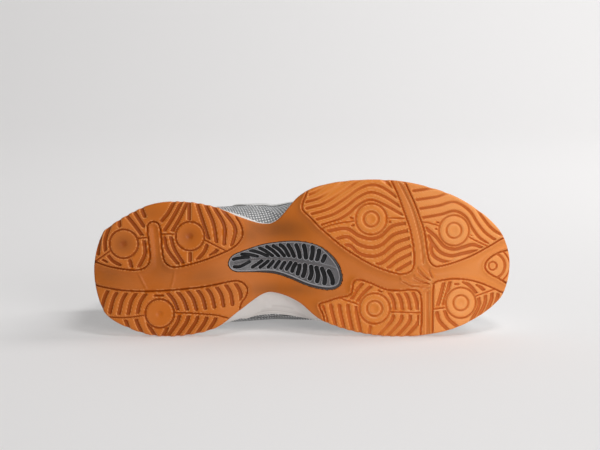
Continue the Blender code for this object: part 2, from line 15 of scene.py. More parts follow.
import bmesh
import bpy
import numpy as np
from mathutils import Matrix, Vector


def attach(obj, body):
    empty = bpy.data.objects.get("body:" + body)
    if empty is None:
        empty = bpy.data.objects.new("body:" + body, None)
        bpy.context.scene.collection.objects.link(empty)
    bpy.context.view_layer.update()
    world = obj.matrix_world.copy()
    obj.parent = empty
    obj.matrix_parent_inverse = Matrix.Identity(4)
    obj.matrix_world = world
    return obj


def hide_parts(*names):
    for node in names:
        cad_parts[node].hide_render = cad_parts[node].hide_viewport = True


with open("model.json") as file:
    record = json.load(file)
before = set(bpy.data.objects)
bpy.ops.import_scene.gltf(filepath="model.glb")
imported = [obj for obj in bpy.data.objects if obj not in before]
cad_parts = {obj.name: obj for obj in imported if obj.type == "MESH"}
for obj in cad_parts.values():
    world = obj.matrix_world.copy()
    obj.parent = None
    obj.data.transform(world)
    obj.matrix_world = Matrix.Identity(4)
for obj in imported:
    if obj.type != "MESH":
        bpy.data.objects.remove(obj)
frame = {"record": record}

Array = np.ndarray
Point = tuple[float, ...]
Curve = tuple[Point, ...]
Material = bpy.types.Material
Node = bpy.types.Node
Socket = bpy.types.NodeSocket
Tree = bpy.types.NodeTree
Thing = bpy.types.Object

log = logging.getLogger("court_shoe")

ROOT = "root"
MM = 0.001
UP = np.array((0.0, 0.0, 1.0))

# Usual span of a noise texture's values, and samples to a span of listed lines and borders
NOISE_SPAN = (0.3, 0.7)
LINE_STEPS = 6
BORDER_STEPS = 5

# Lift of the tread off its flat: rise and end of the heel's back, then rise, start and length of the arch
# and of the toe's spring
HEEL_LIFT = (4.0, 22.0)
ARCH_LIFT = (6.0, 82.0, 84.0)
TOE_LIFT = (13.0, 226.0, 71.0)

# Distance up to which folds and facets are felt
FOLD_REACH = 12.0

# Outsole and rim of the midsole: station, lateral half width, medial half width, and the rim's height
HEEL_TIP = (0.0, 1.8)
TOE_TIP = (297.0, -3.0)
SOLE_SECTIONS = (
    (4.3, 20.7, 24.3), (13, 30.7, 36.5), (38, 44.2, 47.1), (62, 47.3, 48.2), (86, 43.6, 42.9),
    (103, 36.5, 30.7), (120, 31.5, 18.6), (131, 34.6, 18.0), (146, 51.3, 24.3), (163, 59.2, 37.4),
    (190, 62.8, 46.0), (220, 61.6, 48.4), (250, 54.0, 44.6), (272, 42.6, 35.6), (288, 28.8, 23.8),
    (294.5, 17.0, 12.5),
)
RIM_HEEL = (3.0, 1.5, 31.0)
RIM_TOE = (294.0, -3.0, 31.5)
RIM_SECTIONS = (
    (6.8, 18.6, 21.8, 30.7), (15, 29, 32.8, 30), (38.5, 40.5, 41.4, 28.4), (62, 42.8, 42.8, 27.2),
    (86, 41.4, 42.0, 26.4), (103, 37.2, 37.2, 26.2), (120, 31.2, 34.6, 25.8), (131, 33.8, 34.0, 24.6),
    (146, 46, 35.8, 22.6), (163, 54, 38.6, 20.6), (190, 58.6, 42.4, 19), (220, 57.8, 43.8, 19.2),
    (249, 51.2, 41, 21.6), (270, 40.2, 33.6, 25), (285, 27, 22.2, 28.6), (291.3, 15.8, 11.6, 30.6),
)

# Upper: foot station and half widths, swell on both sides, rise, then the rim's station, half widths and
# height, and the lead of the profile into the rim
UPPER_HEEL = (6.0, 1.0, 4.0, 27.0, 9.0, 1.0, 92.0, 0.0, 2.0, -20.0)
UPPER_TOE = (290.5, -3.0, 3.4, 17.0, 195.7, -5.0, 67.8, 53.0, 0.0, -8.5)
UPPER_SECTIONS = (
    (9.6, 16.4, 19.0, 4.0, 4.0, 27, 11, 14.6, 16.4, 91, 0, 2, -20),
    (17.4, 26.6, 29.6, 3.5, 3.5, 27, 20, 24.2, 25.8, 86, 0, 2, -18),
    (39.5, 37.4, 37.6, 2.5, 2.0, 27, 42, 32, 33, 76, 0, 2, -16),
    (62, 39.4, 38.6, 3.0, 1.6, 27, 64, 34, 34.4, 72.5, 0, 2, -15),
    (86, 38, 38.8, 7.0, 3.4, 27, 84, 34, 34, 76, 0, 2.5, -17),
    (103, 34.4, 35.2, 11.5, 7.0, 27, 100, 32, 31.4, 84, 1, 4, -17),
    (120, 30.4, 31.4, 15.5, 9.4, 27, 112, 28.6, 27.6, 92, 4, 8, -15),
    (131, 32, 31, 14.5, 9.2, 27, 120, 26, 23.5, 96, 6, 12, -12),
    (146, 42.4, 32.8, 9.0, 8.2, 26, 132, 23.5, 20, 93, 8, 14, -8),
    (163, 50.4, 35.4, 5.0, 5.6, 25, 146, 22.5, 18, 87.5, 9, 15, -7),
    (190, 55.2, 38.6, 4.0, 2.6, 24, 162, 22, 15.5, 81, 13, 16, -6.5),
    (219, 54.6, 39.8, 3.5, 1.7, 23, 176, 21, 13.5, 75.5, 20, 17, -6.5),
    (247, 48, 37.4, 3.2, 2.4, 21, 186, 19, 10.5, 71.5, 30, 14, -6),
    (267, 37.2, 30.8, 3.2, 3.2, 19, 191, 16, 6.5, 69.5, 40, 10, -6),
    (281.5, 24.6, 19.8, 3.4, 3.4, 18, 194, 11.5, 1.5, 68.4, 48, 5, -7),
    (287.8, 13.8, 9.8, 3.4, 3.4, 17, 195.2, 8, -2, 68, 51, 2, -8),
)

# Leaf-shaped window of the shank: its lateral and its medial edge, both from the heel end
LEAF_LATERAL = (
    (95.3, -3), (95.8, -5), (97, -7.5), (100, -10), (105, -12), (110, -13.8), (120, -17), (130, -18.6),
    (140, -19.4), (148, -19.1), (155, -17.7), (160, -16), (165, -13), (170, -8.5), (174, -3), (176, 2),
    (177, 6.5),
)
LEAF_MEDIAL = (
    (95.3, -3), (95.7, -1.4), (97, 0.7), (99.5, 2.3), (103, 3), (110, 3), (120, 3.3), (130, 4.5),
    (140, 7.8), (148, 11.2), (155, 13.6), (160, 14.7), (165, 15.4), (170, 15.2), (174, 13.4), (176, 10.8),
    (177, 6.5),
)


def ease(low: float, high: float, value: Array) -> Array:
    """Smooth step from 0 at low to 1 at high."""
    share = np.clip((value - low) / (high - low), 0.0, 1.0)
    return share * share * (3 - 2 * share)


def groove(away: Array, half: float, soft: float = 0.4) -> Array:
    """Cross-section of a moulded groove: 1 within half of its line, easing to 0 over the soft flank."""
    return 1 - ease(half - soft, half + soft, away)


def smooth_path(points: Sequence[Point], samples: int, closed: bool = False) -> Array:
    """Catmull-Rom curve through the points.

    Args:
        points: Places the curve passes through, in order.
        samples: Points per span.
        closed: Whether the last point joins the first.

    Returns:
        Points along the curve, the last given one included where it is open.
    """
    here = np.asarray(points, float)
    if closed:
        before, after, beyond = np.roll(here, 1, 0), np.roll(here, -1, 0), np.roll(here, -2, 0)
    else:
        ends = np.concatenate([2 * here[:1] - here[1:2], here, 2 * here[-1:] - here[-2:-1]])
        before, here, after, beyond = ends[:-3], ends[1:-2], ends[2:-1], ends[3:]
    before, here, after, beyond = (rows[:, None] for rows in (before, here, after, beyond))
    share = (np.arange(samples) / samples)[None, :, None]
    curve = here + 0.5 * (
        share * (after - before)
        + share**2 * (2 * before - 5 * here + 4 * after - beyond)
        + share**3 * (3 * here - before - 3 * after + beyond)
    )
    curve = curve.reshape(-1, curve.shape[-1])
    return curve if closed else np.concatenate([curve, np.asarray(points[-1:], float)])


def unit(vectors: Array) -> Array:
    """Vectors of length 1 along the given ones."""
    return vectors / np.linalg.norm(vectors, axis=-1, keepdims=True)


def steps_between(points: Array, axis: int = 0) -> Array:
    """Distances between neighbouring points along an axis."""
    return np.linalg.norm(np.diff(points, axis=axis), axis=-1)


def running(steps: Array, axis: int = 0) -> Array:
    """Sums of the steps up to each place along an axis, from 0 on."""
    return np.insert(np.cumsum(steps, axis), 0, 0.0, axis)


def arc_length(path: Array) -> Array:
    """Length along a path up to each of its points."""
    return running(steps_between(path))


def along_path(path: Array, along: Array, wanted: Array) -> Array:
    """Points of a path at the wanted lengths, where along is the length at each of its points."""
    return np.column_stack([np.interp(wanted, along, column) for column in path.T])


def resample(path: Array, count: int) -> Array:
    """The wanted number of points at equal steps of length along a path."""
    along = arc_length(path)
    return along_path(path, along, np.linspace(0, along[-1], count))


def even_rows(lateral: Array, medial: Array, count: int) -> list[Array]:
    """Both edges of a sheet of rows, at equal steps along whichever edge is longer in each span.

    Args:
        lateral: Points of the lateral edge.
        medial: As many points of the medial edge, each across from its lateral one.
        count: Number of rows wanted.

    Returns:
        New points of the lateral and of the medial edge.
    """
    along = running(np.maximum(steps_between(lateral), steps_between(medial)))
    wanted = np.linspace(0, along[-1], count)
    return [along_path(edge, along, wanted) for edge in (lateral, medial)]


def filled(lateral: Array, medial: Array, columns: int) -> Array:
    """Sheet of rows, each at equal steps from its lateral to its medial edge."""
    share = np.linspace(0, 1, columns)[None, :, None]
    return lateral[:, None] * (1 - share) + medial[:, None] * share


def sheet_edge(sheet: Array) -> Array:
    """Closed ring around a sheet of rows: out along its first column and back along its last."""
    return np.concatenate([sheet[:, 0], sheet[-2:0:-1, -1]])


def halves(ring: Array) -> tuple[Array, Array]:
    """Lateral and medial half of a closed ring, both from the heel's tip to the toe's."""
    middle = len(ring) // 2
    return ring[: middle + 1], np.concatenate([ring[middle:], ring[:1]])[::-1]


def nearest_on_path(points: Array, path: Array, reach: float) -> tuple[Array, Array]:
    """Distance from each point to a path and the nearest place on it.

    Args:
        points: Plan points.
        path: Plan points of the path, joined by straight pieces.
        reach: Points further off than this keep it as their distance.

    Returns:
        Distances, and the nearest places (the point itself where the path is out of reach).
    """
    away = np.full(len(points), reach)
    place = points.copy()
    near = ((points > path.min(0) - reach) & (points < path.max(0) + reach)).all(1)
    index = np.flatnonzero(near)
    here, best, foot = points[index], away[index], place[index]
    for start, end in zip(path[:-1], path[1:]):
        along = end - start
        share = np.clip((here - start) @ along / max(along @ along, 1e-9), 0, 1)
        on_path = start + share[:, None] * along
        distance = np.linalg.norm(here - on_path, axis=1)
        closer = distance < best
        best[closer] = distance[closer]
        foot[closer] = on_path[closer]
    away[index], place[index] = best, foot
    return away, place


def inside_loop(points: Array, loop: Array) -> Array:
    """Whether each plan point lies inside a closed loop, by counting the edges a ray to +x crosses."""
    odd = np.zeros(len(points), bool)
    for start, end in zip(loop, np.roll(loop, -1, 0)):
        crosses = (start[1] > points[:, 1]) != (end[1] > points[:, 1])
        if start[1] != end[1]:
            share = (points[:, 1] - start[1]) / (end[1] - start[1])
            odd ^= crosses & (points[:, 0] < start[0] + share * (end[0] - start[0]))
    return odd


def line_bell(flat: Array, ends: Sequence[Point], tall: float, half: float) -> Array:
    """Bell curve of the distance to a line whose ends are a station and a share of the tall side each."""
    away, _ = nearest_on_path(flat, np.array(ends) * (1.0, tall), FOLD_REACH)
    return np.exp(-((away / half) ** 2))


def bell_spots(plan: Array, spots: Sequence[Point]) -> Array:
    """Share of the strongest of some bell-shaped spots, given by middle, reaches and strength."""
    shares = [
        strength * np.exp(-(((plan[:, 0] - x) / along) ** 2) - ((plan[:, 1] - y) / across) ** 2)
        for x, y, along, across, strength in spots
    ]
    return np.max(shares, 0)


def around(heel: Point, sections: Sequence[Point], toe: Point) -> Array:
    """Closed ring of points from the heel along the lateral side to the toe and back on the medial side."""
    lateral = [(x, -lat, *rest) for x, lat, _, *rest in sections]
    medial = [(x, med, *rest) for x, _, med, *rest in reversed(sections)]
    return np.array([heel, *lateral, toe, *medial], float)


def outward(ring: Array) -> Array:
    """Level unit normals of a closed ring that point away from its inside, with as many columns as it has."""
    after = np.roll(ring, -1, 0)
    along = after - np.roll(ring, 1, 0)
    normal = np.zeros(ring.shape)
    normal[:, 0], normal[:, 1] = along[:, 1], -along[:, 0]
    area = np.sum(ring[:, 0] * after[:, 1] - after[:, 0] * ring[:, 1])
    return unit(normal) * np.sign(area)


def tube(path: Array, wide: Array, tall: Array, across: Array, up: Array) -> Array:
    """Rings of points around a path.

    Args:
        path: Points of the path.
        wide: Unit vectors across it at each point.
        tall: Unit vectors up from it at each point.
        across: How far each point of a ring lies across.
        up: How far it lies up.

    Returns:
        The rings, one row for each point of the path.
    """
    path, wide, tall = (k[..., None, :] for k in (path, wide, tall))
    return path + wide * across[..., None] + tall * up[..., None]


def lift(x: Array) -> Array:
    """Height of the tread above its flat: the heel's back, the arch and the toe's spring."""
    heel_rise, heel_end = HEEL_LIFT
    arch_rise, arch_start, arch_run = ARCH_LIFT
    toe_rise, toe_start, toe_run = TOE_LIFT
    heel = heel_rise * np.clip((heel_end - x) / heel_end, 0, None) ** 2
    arch = arch_rise * np.sin(pi * np.clip((x - arch_start) / arch_run, 0, 1)) ** 2
    toe = toe_rise * np.clip((x - toe_start) / toe_run, 0, None) ** 2
    return heel + arch + toe


@dataclass(frozen=True)
class Placement:
    """How the shoe's own frame lies in the row frame: a turn and a shift, read from a tread face."""

    turn: Array
    shift: Array

    HEEL_FACE = (62.0, 30.0, 0.0)

    @classmethod
    def from_record(cls, record: dict) -> "Placement":
        """Placement from the heel's tread face.

        The face looks along the shoe's -z. The shoe's x lies level with the row's Y left out of it, and y
        follows from the other two.

        Args:
            record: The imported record.

        Returns:
            The placement.
        """
        mount = next(m for m in record["mounts"] if m["name"] == "tread_heel")
        upward = unit(-np.array(mount["axis"], float))
        forward = unit(np.array((-upward[2], 0.0, upward[0])))
        turn = np.column_stack([forward, np.cross(upward, forward), upward])
        shift = np.array(mount["pos_m"], float) - turn @ (np.array(cls.HEEL_FACE) * MM)
        return cls(turn, shift)

    def world(self, points: Array) -> Array:
        """Row-frame metres of points in the shoe's millimetres."""
        return points @ self.turn.T * MM + self.shift


def grid_quads(rows: int, columns: int, wrap: bool = False) -> Array:
    """Corner numbers of a grid's quads, rows by columns, whose last column may join the first."""
    first = np.arange(rows - 1)[:, None] * columns
    column = np.arange(columns if wrap else columns - 1)[None, :]
    after = (column + 1) % columns
    corners = (first + column, first + after, first + columns + after, first + columns + column)
    return np.stack(corners, -1).reshape(-1, 4)


@dataclass
class Shell:
    """A mesh in the making: points in the shoe's millimetres, faces, their finish, map and point values."""

    placement: Placement
    value_names: tuple[str, ...] = ()
    points: list[Array] = field(default_factory=list)
    faces: list[Array] = field(default_factory=list)
    maps: list[Array] = field(default_factory=list)
    finish: list[Array] = field(default_factory=list)
    values: list[Array] = field(default_factory=list)
    count: int = 0

    MERGE = 2e-6

    def add_grid(
        self, points: Array, wrap: bool = False, sheet: Array | None = None, finish: int = 0, **values: Array
    ) -> None:
        """Adds a surface given on a grid.

        Args:
            points: Rows by columns by 3.
            wrap: Whether the last column joins the first.
            sheet: Place of each grid point on the flat material in millimetres, with one column more where
                the grid wraps; the grid's own numbers where left out.
            finish: Which of the piece's materials the faces take.
            **values: Rows by columns of a value each point carries.
        """
        rows, columns = points.shape[:2]
        wide = columns + int(wrap)
        if sheet is None:
            sheet = np.stack(np.meshgrid(np.arange(wide), np.arange(rows)), -1).astype(float)
        quads = grid_quads(rows, columns, wrap)
        self.points.append(points.reshape(-1, 3))
        self.faces.append(quads + self.count)
        self.maps.append(sheet.reshape(-1, 2)[grid_quads(rows, wide)])
        self.finish.append(np.full(len(quads), finish))
        carried = np.zeros((rows, columns, len(self.value_names)))
        for k, name in enumerate(self.value_names):
            carried[..., k] = values.get(name, 0.0)
        self.values.append(carried.reshape(rows * columns, len(self.value_names)))
        self.count += rows * columns

    def build(self, name: str, materials: Sequence[Material], crease: float = 40.0) -> Thing:
        """Makes the mesh object, with doubles merged, faces outwards and steep edges kept sharp.

        Args:
            name: Name of the piece.
            materials: Its materials in order of their finish number.
            crease: Angle in degrees between faces from which an edge stays sharp.

        Returns:
            The object, at the origin.
        """
        points = np.concatenate(self.points)
        faces = np.concatenate(self.faces)
        maps = np.concatenate(self.maps)
        a, b, c, d = (points[faces[:, k]] for k in range(4))
        volume = np.einsum("ij,ij->", a, np.cross(b, c)) + np.einsum("ij,ij->", a, np.cross(c, d))
        if volume < 0:
            faces, maps = faces[:, ::-1], maps[:, ::-1]
        mesh = bpy.data.meshes.new(name)
        mesh.from_pydata(self.placement.world(points).tolist(), [], faces.tolist())
        mesh.uv_layers.new(name="sheet").data.foreach_set("uv", np.ascontiguousarray(maps).ravel())
        mesh.polygons.foreach_set("material_index", np.concatenate(self.finish))
        values = np.concatenate(self.values)
        for k, value_name in enumerate(self.value_names):
            mesh.attributes.new(value_name, "FLOAT", "POINT").data.foreach_set("value", values[:, k].copy())
        for material in materials:
            mesh.materials.append(material)
        tidy = bmesh.new()
        tidy.from_mesh(mesh)
        bmesh.ops.remove_doubles(tidy, verts=tidy.verts, dist=self.MERGE)
        bmesh.ops.dissolve_degenerate(tidy, edges=tidy.edges, dist=self.MERGE)
        tidy.to_mesh(mesh)
        tidy.free()
        mesh.shade_smooth()
        mesh.set_sharp_from_angle(angle=radians(crease))
        made = bpy.data.objects.new(name, mesh)
        bpy.context.scene.collection.objects.link(made)
        return made


class Slot(Enum):
    """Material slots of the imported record."""

    GUM = "gum_rubber"
    PLASTIC = "dark_plastic"
    FOAM = "white_foam"
    INSOLE = "grey_foam"
    MESH = "grey_mesh"
    TONGUE = "tongue_mesh"
    OVERLAY = "overlay_white"
    LACE = "lace_white"


def settle(made: Thing, slot: Slot, *nodes: str) -> Thing:
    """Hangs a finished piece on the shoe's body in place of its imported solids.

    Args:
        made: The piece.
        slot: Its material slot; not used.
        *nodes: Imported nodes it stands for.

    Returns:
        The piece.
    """
    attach(made, ROOT)
    if nodes:
        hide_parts(*nodes)
    triangles = sum(len(face.vertices) - 2 for face in made.data.polygons)
    log.info("%s: %d triangles", made.name, triangles)
    return made


def paint(red: float, green: float, blue: float) -> tuple[float, float, float, float]:
    """Linear colour of a screen colour given from 0 to 255."""
    channels = np.array((red, green, blue)) / 255
    linear = np.where(channels <= 0.04045, channels / 12.92, ((channels + 0.055) / 1.055) ** 2.4)
    return (*linear.tolist(), 1.0)


@dataclass
class NodeBook:
    """Writes nodes into one node tree."""

    tree: Tree

    def add(self, kind: str, inputs: dict | None = None, **settings: object) -> Node:
        """Adds a node.

        Args:
            kind: Blender's name of the node type.
            inputs: Values or output sockets for its inputs, by socket name or number.
            **settings: Properties of the node.

        Returns:
            The node.
        """
        node = self.tree.nodes.new(kind)
        for name, value in settings.items():
            setattr(node, name, value)
        for name, value in (inputs or {}).items():
            if isinstance(value, Socket):
                self.tree.links.new(value, node.inputs[name])
            else:
                node.inputs[name].default_value = value
        return node

    def math(self, operation: str, *values: object) -> Socket:
        """Result of a Math node on the values."""
        return self.add("ShaderNodeMath", dict(enumerate(values)), operation=operation).outputs[0]

    def vector(self, operation: str, *values: object) -> Node:
        """A Vector Math node on the values."""
        return self.add("ShaderNodeVectorMath", dict(enumerate(values)), operation=operation)

    def band(
        self, value: object, low: object, high: object, start: object = 0.0, end: object = 1.0
    ) -> Socket:
        """Value eased from low..high to start..end."""
        inputs = {"Value": value, "From Min": low, "From Max": high, "To Min": start, "To Max": end}
        return self.add("ShaderNodeMapRange", inputs, interpolation_type="SMOOTHSTEP").outputs[0]

    def mix(self, share: object, first: object, second: object, blend: str = "MIX") -> Socket:
        """Colour mixed from the first to the second by the share."""
        inputs = {0: share, 6: first, 7: second}
        return self.add("ShaderNodeMix", inputs, data_type="RGBA", blend_type=blend).outputs[2]

    def tint(self, share: object, most: float, first: object, second: object) -> Socket:
        """Colour mixed from the first towards the second by the share of the most."""
        return self.mix(self.math("MULTIPLY", share, most), first, second)

    def attribute(self, name: str) -> Socket:
        """A value that the points of the piece carry."""
        return self.add("ShaderNodeAttribute", attribute_name=name).outputs["Fac"]

    def place(self) -> Socket:
        """Object coordinates, in metres."""
        return self.add("ShaderNodeTexCoord").outputs["Object"]

    def sheet(self) -> Socket:
        """Place on the flat material, in millimetres."""
        return self.add("ShaderNodeUVMap", uv_map="sheet").outputs["UV"]

    def group(self, tree: Tree, inputs: dict) -> Node:
        """Places a shared effect."""
        return self.add("ShaderNodeGroup", inputs, node_tree=tree)


class Effects:
    """Effects that several finishes share, each a node group built once."""

    def _open(
        self, name: str, vector: str, values: Sequence[str], outputs: Sequence[str]
    ) -> tuple[NodeBook, list[Socket], Node]:
        """Starts a node group.

        Args:
            name: Name of the group.
            vector: Name of its vector input, which comes first.
            values: Names of its value inputs.
            outputs: Names of its outputs, all values.

        Returns:
            Its book, its input sockets in order and its output node.
        """
        tree = bpy.data.node_groups.new(name, "ShaderNodeTree")
        tree.interface.new_socket(vector, in_out="INPUT", socket_type="NodeSocketVector")
        for names, side in ((values, "INPUT"), (outputs, "OUTPUT")):
            for socket in names:
                tree.interface.new_socket(socket, in_out=side, socket_type="NodeSocketFloat")
        book = NodeBook(tree)
        entry = book.add("NodeGroupInput")
        return book, [entry.outputs[name] for name in (vector, *values)], book.add("NodeGroupOutput")

    @cached_property
    def grain(self) -> Tree:
        """Fine grain and broad mottling: two noises of the place, each at its own scale."""
        book, given, result = self._open("grain", "Place", ("Grain", "Mottle"), ("Height", "Mottling"))
        place, *scales = given
        fine, broad = (
            book.add("ShaderNodeTexNoise", {"Vector": place, "Scale": scale, "Detail": detail}).outputs[0]
            for scale, detail in zip(scales, (4.0, 6.0))
        )
        book.tree.links.new(fine, result.inputs["Height"])
        book.tree.links.new(book.band(broad, *NOISE_SPAN), result.inputs["Mottling"])
        return book.tree

    @cached_property
    def dots(self) -> Tree:
        """Round dots on a staggered lattice: the nearer of two square lattices half a step apart."""
        book, given, result = self._open("dots", "Sheet", ("Pitch", "Radius"), ("Dot",))
        sheet, pitch, radius = given
        steps = book.add("ShaderNodeVectorMath", {0: sheet}, operation="SCALE")
        book.tree.links.new(book.math("DIVIDE", 1.0, pitch), steps.inputs["Scale"])
        away = []
        for shift in (0.0, 0.5):
            cell = book.vector("ADD", steps.outputs[0], (shift, shift, 0.0)).outputs[0]
            cell = book.vector("FRACTION", cell).outputs[0]
            cell = book.vector("SUBTRACT", cell, (0.5, 0.5, 0.0)).outputs[0]
            flat = book.vector("MULTIPLY", cell, (1.0, 1.0, 0.0)).outputs[0]
            away.append(book.vector("LENGTH", flat).outputs["Value"])
        nearer = book.math("MULTIPLY", book.math("MINIMUM", *away), pitch)
        edge = book.math("MULTIPLY", radius, 0.7)
        book.tree.links.new(book.band(nearer, radius, edge), result.inputs["Dot"])
        return book.tree

    @cached_property
    def weave(self) -> Tree:
        """Plain weave: crests of warp and weft that take turns, as products of sines of the place."""
        book, given, result = self._open("weave", "Sheet", ("Pitch",), ("Height", "Turn"))
        parts = book.add("ShaderNodeSeparateXYZ", {0: given[0]})
        turn = book.math("DIVIDE", pi, given[1])
        waves = [book.math("SINE", book.math("MULTIPLY", parts.outputs[k], turn)) for k in (0, 1)]
        over = book.math("MULTIPLY", *waves)
        crest = [book.math("ABSOLUTE", wave) for wave in waves]
        height = book.math("ADD", book.math("MULTIPLY", *crest), book.math("MULTIPLY", over, 0.35))
        book.tree.links.new(height, result.inputs["Height"])
        book.tree.links.new(book.band(over, -0.6, 0.6), result.inputs["Turn"])
        return book.tree


EFFECTS = Effects()


def new_material(name: str, **constants: object) -> tuple[Material, NodeBook, Node]:
    """Empty material with a Principled shader.

    Args:
        name: Name of the material.
        **constants: Values that are the same all over, by socket name with spaces as underscores.

    Returns:
        The material, its book and its shader.
    """
    material = bpy.data.materials.new(name)
    material.use_nodes = True
    shader = next(n for n in material.node_tree.nodes if n.type == "BSDF_PRINCIPLED")
    for socket, value in constants.items():
        shader.inputs[socket.replace("_", " ")].default_value = value
    return material, NodeBook(material.node_tree), shader


def dress(
    book: NodeBook, shader: Node, colour: object, roughness: object, height: object, depth: float
) -> None:
    """Links colour, roughness and a bump of the given depth in metres to a shader."""
    bump = book.add("ShaderNodeBump", {"Height": height, "Distance": depth, "Strength": 1.0})
    for name, value in (("Base Color", colour), ("Roughness", roughness), ("Normal", bump.outputs[0])):
        book.tree.links.new(value, shader.inputs[name])


def grained(book: NodeBook, scales: tuple[float, float]) -> tuple[Socket, Socket]:
    """Height and mottling of the shared grain at a finish's scales of grain and mottle."""
    given = {"Place": book.place(), "Grain": scales[0], "Mottle": scales[1]}
    node = book.group(EFFECTS.grain, given)
    return node.outputs["Height"], node.outputs["Mottling"]


@dataclass(frozen=True)
class GumRubber:
    """Moulded gum rubber, browner at the heel, with painted shade in its grooves and channels, painted
    highlights on the grooves' edges, and patches of painted shade and soil.
    """

    toe: tuple = paint(252, 162, 86)
    ball: tuple = paint(230, 132, 46)
    heel: tuple = paint(210, 112, 28)
    # Colours of the channels between the pads, painted darker as shade in the recess
    toe_channel_shade: tuple = paint(236, 140, 62)
    channel: tuple = paint(198, 105, 30)
    # Colours of the grooves, painted darker as shade: lighter in the forefoot, darkest at the heel
    toe_groove_shade: tuple = paint(200, 100, 32)
    deep: tuple = paint(160, 74, 10)
    # Colour of the patches of painted shade and soil
    grime: tuple = paint(122, 70, 28)
    dust: tuple = paint(214, 136, 76)
    # Pale colour painted along the grooves' edges as a highlight
    crest: tuple = paint(255, 186, 118)
    highlight_share: float = 0.6
    channel_shade_share: float = 0.75
    dust_share: float = 0.2
    scales: tuple[float, float] = (1500.0, 34.0)
    rough: tuple[float, float] = (0.38, 0.54)
    bump: float = 0.00012

    # Places along the shoe between which its colours change, in metres: the browner heel and paler toe are
    # partly painted light
    HEEL_TO_BALL = (-0.09, 0.02)
    BALL_TO_TOE = (0.04, 0.13)
    HEEL_TO_FORE_CUT = (-0.07, 0.03)

    # Share of the patches of painted shade and soil that the mottling lets through, the darkest painted
    # groove shade at heel and forefoot, and the cut's span
    PATCHY = (0.6, 1.0)
    DARKEST_GROOVE_SHADE = (0.9, 0.84)
    CUT_SPAN = (0.2, 0.9)

    def material(self) -> Material:
        """Builds the material."""
        made, book, shader = new_material("gum_rubber_tread", Specular_IOR_Level=0.24)
        height, mottling = grained(book, self.scales)
        along = book.add("ShaderNodeSeparateXYZ", {0: book.place()}).outputs[0]
        fore = book.band(along, *self.BALL_TO_TOE)
        face = book.mix(fore, book.mix(book.band(along, *self.HEEL_TO_BALL), self.heel, self.ball), self.toe)
        # Channels are painted darker as shade
        sunk = book.mix(fore, self.channel, self.toe_channel_shade)
        face = book.tint(book.attribute("hollow"), self.channel_shade_share, face, sunk)
        face = book.tint(mottling, self.dust_share, face, self.dust)
        patchy = book.band(mottling, 0.0, 1.0, *self.PATCHY)
        # Patches of painted shade and soil, broken up by the mottling
        darkening = book.math("MULTIPLY", book.attribute("grime"), patchy)
        face = book.mix(darkening, face, self.grime)
        # Groove edges are painted pale as a highlight
        face = book.tint(book.attribute("crest"), self.highlight_share, face, self.crest)
        # Grooves, border cuts and sunk lines are painted darker as shade, most at the heel
        strongest = book.band(along, *self.HEEL_TO_FORE_CUT, *self.DARKEST_GROOVE_SHADE)
        groove_shading = book.band(book.attribute("cut"), *self.CUT_SPAN, 0.0, strongest)
        deepest = book.mix(book.band(along, *self.HEEL_TO_FORE_CUT), self.deep, self.toe_groove_shade)
        roughness = book.band(mottling, 0.0, 1.0, *self.rough)
        dress(book, shader, book.mix(groove_shading, face, deepest), roughness, height, self.bump)
        return made


@dataclass(frozen=True)
class ShankPlastic:
    """Moulded dark plastic: a dull rim, a bead and slot edges painted bright as highlights, grey ribs, and
    slots and joint painted near-black as shade.
    """

    rib: tuple = paint(98, 96, 98)
    worn: tuple = paint(84, 82, 84)
    rim: tuple = paint(50, 46, 47)
    # Bright colour painted on the bead and the slots' edges as highlights
    bead: tuple = paint(206, 205, 209)
    # Near-black painted into the slots and the joint as shade
    slot: tuple = paint(16, 16, 18)
    worn_share: float = 0.45
    bead_highlight_share: float = 0.6
    slot_edge_highlight_share: float = 0.75
    slot_dullness: float = 0.4
    scales: tuple[float, float] = (2600.0, 90.0)
    rough: tuple[float, float] = (0.28, 0.44)
    bump: float = 0.00006

    # Shares of the relief over which a slot's edge, painted pale as a highlight, comes and goes, and over
    # which the slot is painted near-black as shade
    SLOT_EDGE_HIGHLIGHT = ((0.27, 0.33), (0.8, 0.6))
    SLOT_SHADE_SPAN = (0.6, 0.88)

    def material(self) -> Material:
        """Builds the material."""
        made, book, shader = new_material("dark_plastic_shank", Specular_IOR_Level=0.5)
        height, mottling = grained(book, self.scales)
        rib = book.tint(mottling, self.worn_share, self.rib, self.worn)
        rib = book.mix(book.attribute("rim"), rib, self.rim)
        rib = book.tint(book.attribute("bead"), self.bead_highlight_share, rib, self.bead)
        relief = book.attribute("relief")
        # Slot edges are painted pale as highlights
        edges = book.math("MULTIPLY", *(book.band(relief, *k) for k in self.SLOT_EDGE_HIGHLIGHT))
        rib = book.tint(edges, self.slot_edge_highlight_share, rib, self.bead)
        # Slots and the joint are painted near-black as shade
        sunk = book.band(relief, *self.SLOT_SHADE_SPAN)
        smooth = book.band(mottling, 0.0, 1.0, *self.rough)
        roughness = book.math("ADD", smooth, book.math("MULTIPLY", sunk, self.slot_dullness))
        dress(book, shader, book.mix(sunk, rib, self.slot), roughness, height, self.bump)
        return made


@dataclass(frozen=True)
class MouldedFoam:
    """Moulded foam with a fine pebbled skin, faint soiling, and painted shade in its pressed lines and
    creases.
    """

    skin: tuple = paint(236, 233, 230)
    # Colour of the soiling, also painted into pressed lines and creases as shade
    dirt_and_shade: tuple = paint(184, 177, 171)
    dirt_share: float = 0.25
    scales: tuple[float, float] = (900.0, 45.0)
    rough: tuple[float, float] = (0.5, 0.66)
    bump: float = 0.00008

    def material(self) -> Material:
        """Builds the material."""
        made, book, shader = new_material("white_foam_wall", Specular_IOR_Level=0.35)
        height, mottling = grained(book, self.scales)
        colour = book.tint(mottling, self.dirt_share, self.skin, self.dirt_and_shade)
        # Pressed lines and creases are painted darker as shade
        colour = book.mix(book.attribute("relief"), colour, self.dirt_and_shade)
        roughness = book.band(mottling, 0.0, 1.0, *self.rough)
        dress(book, shader, colour, roughness, height, self.bump)
        return made


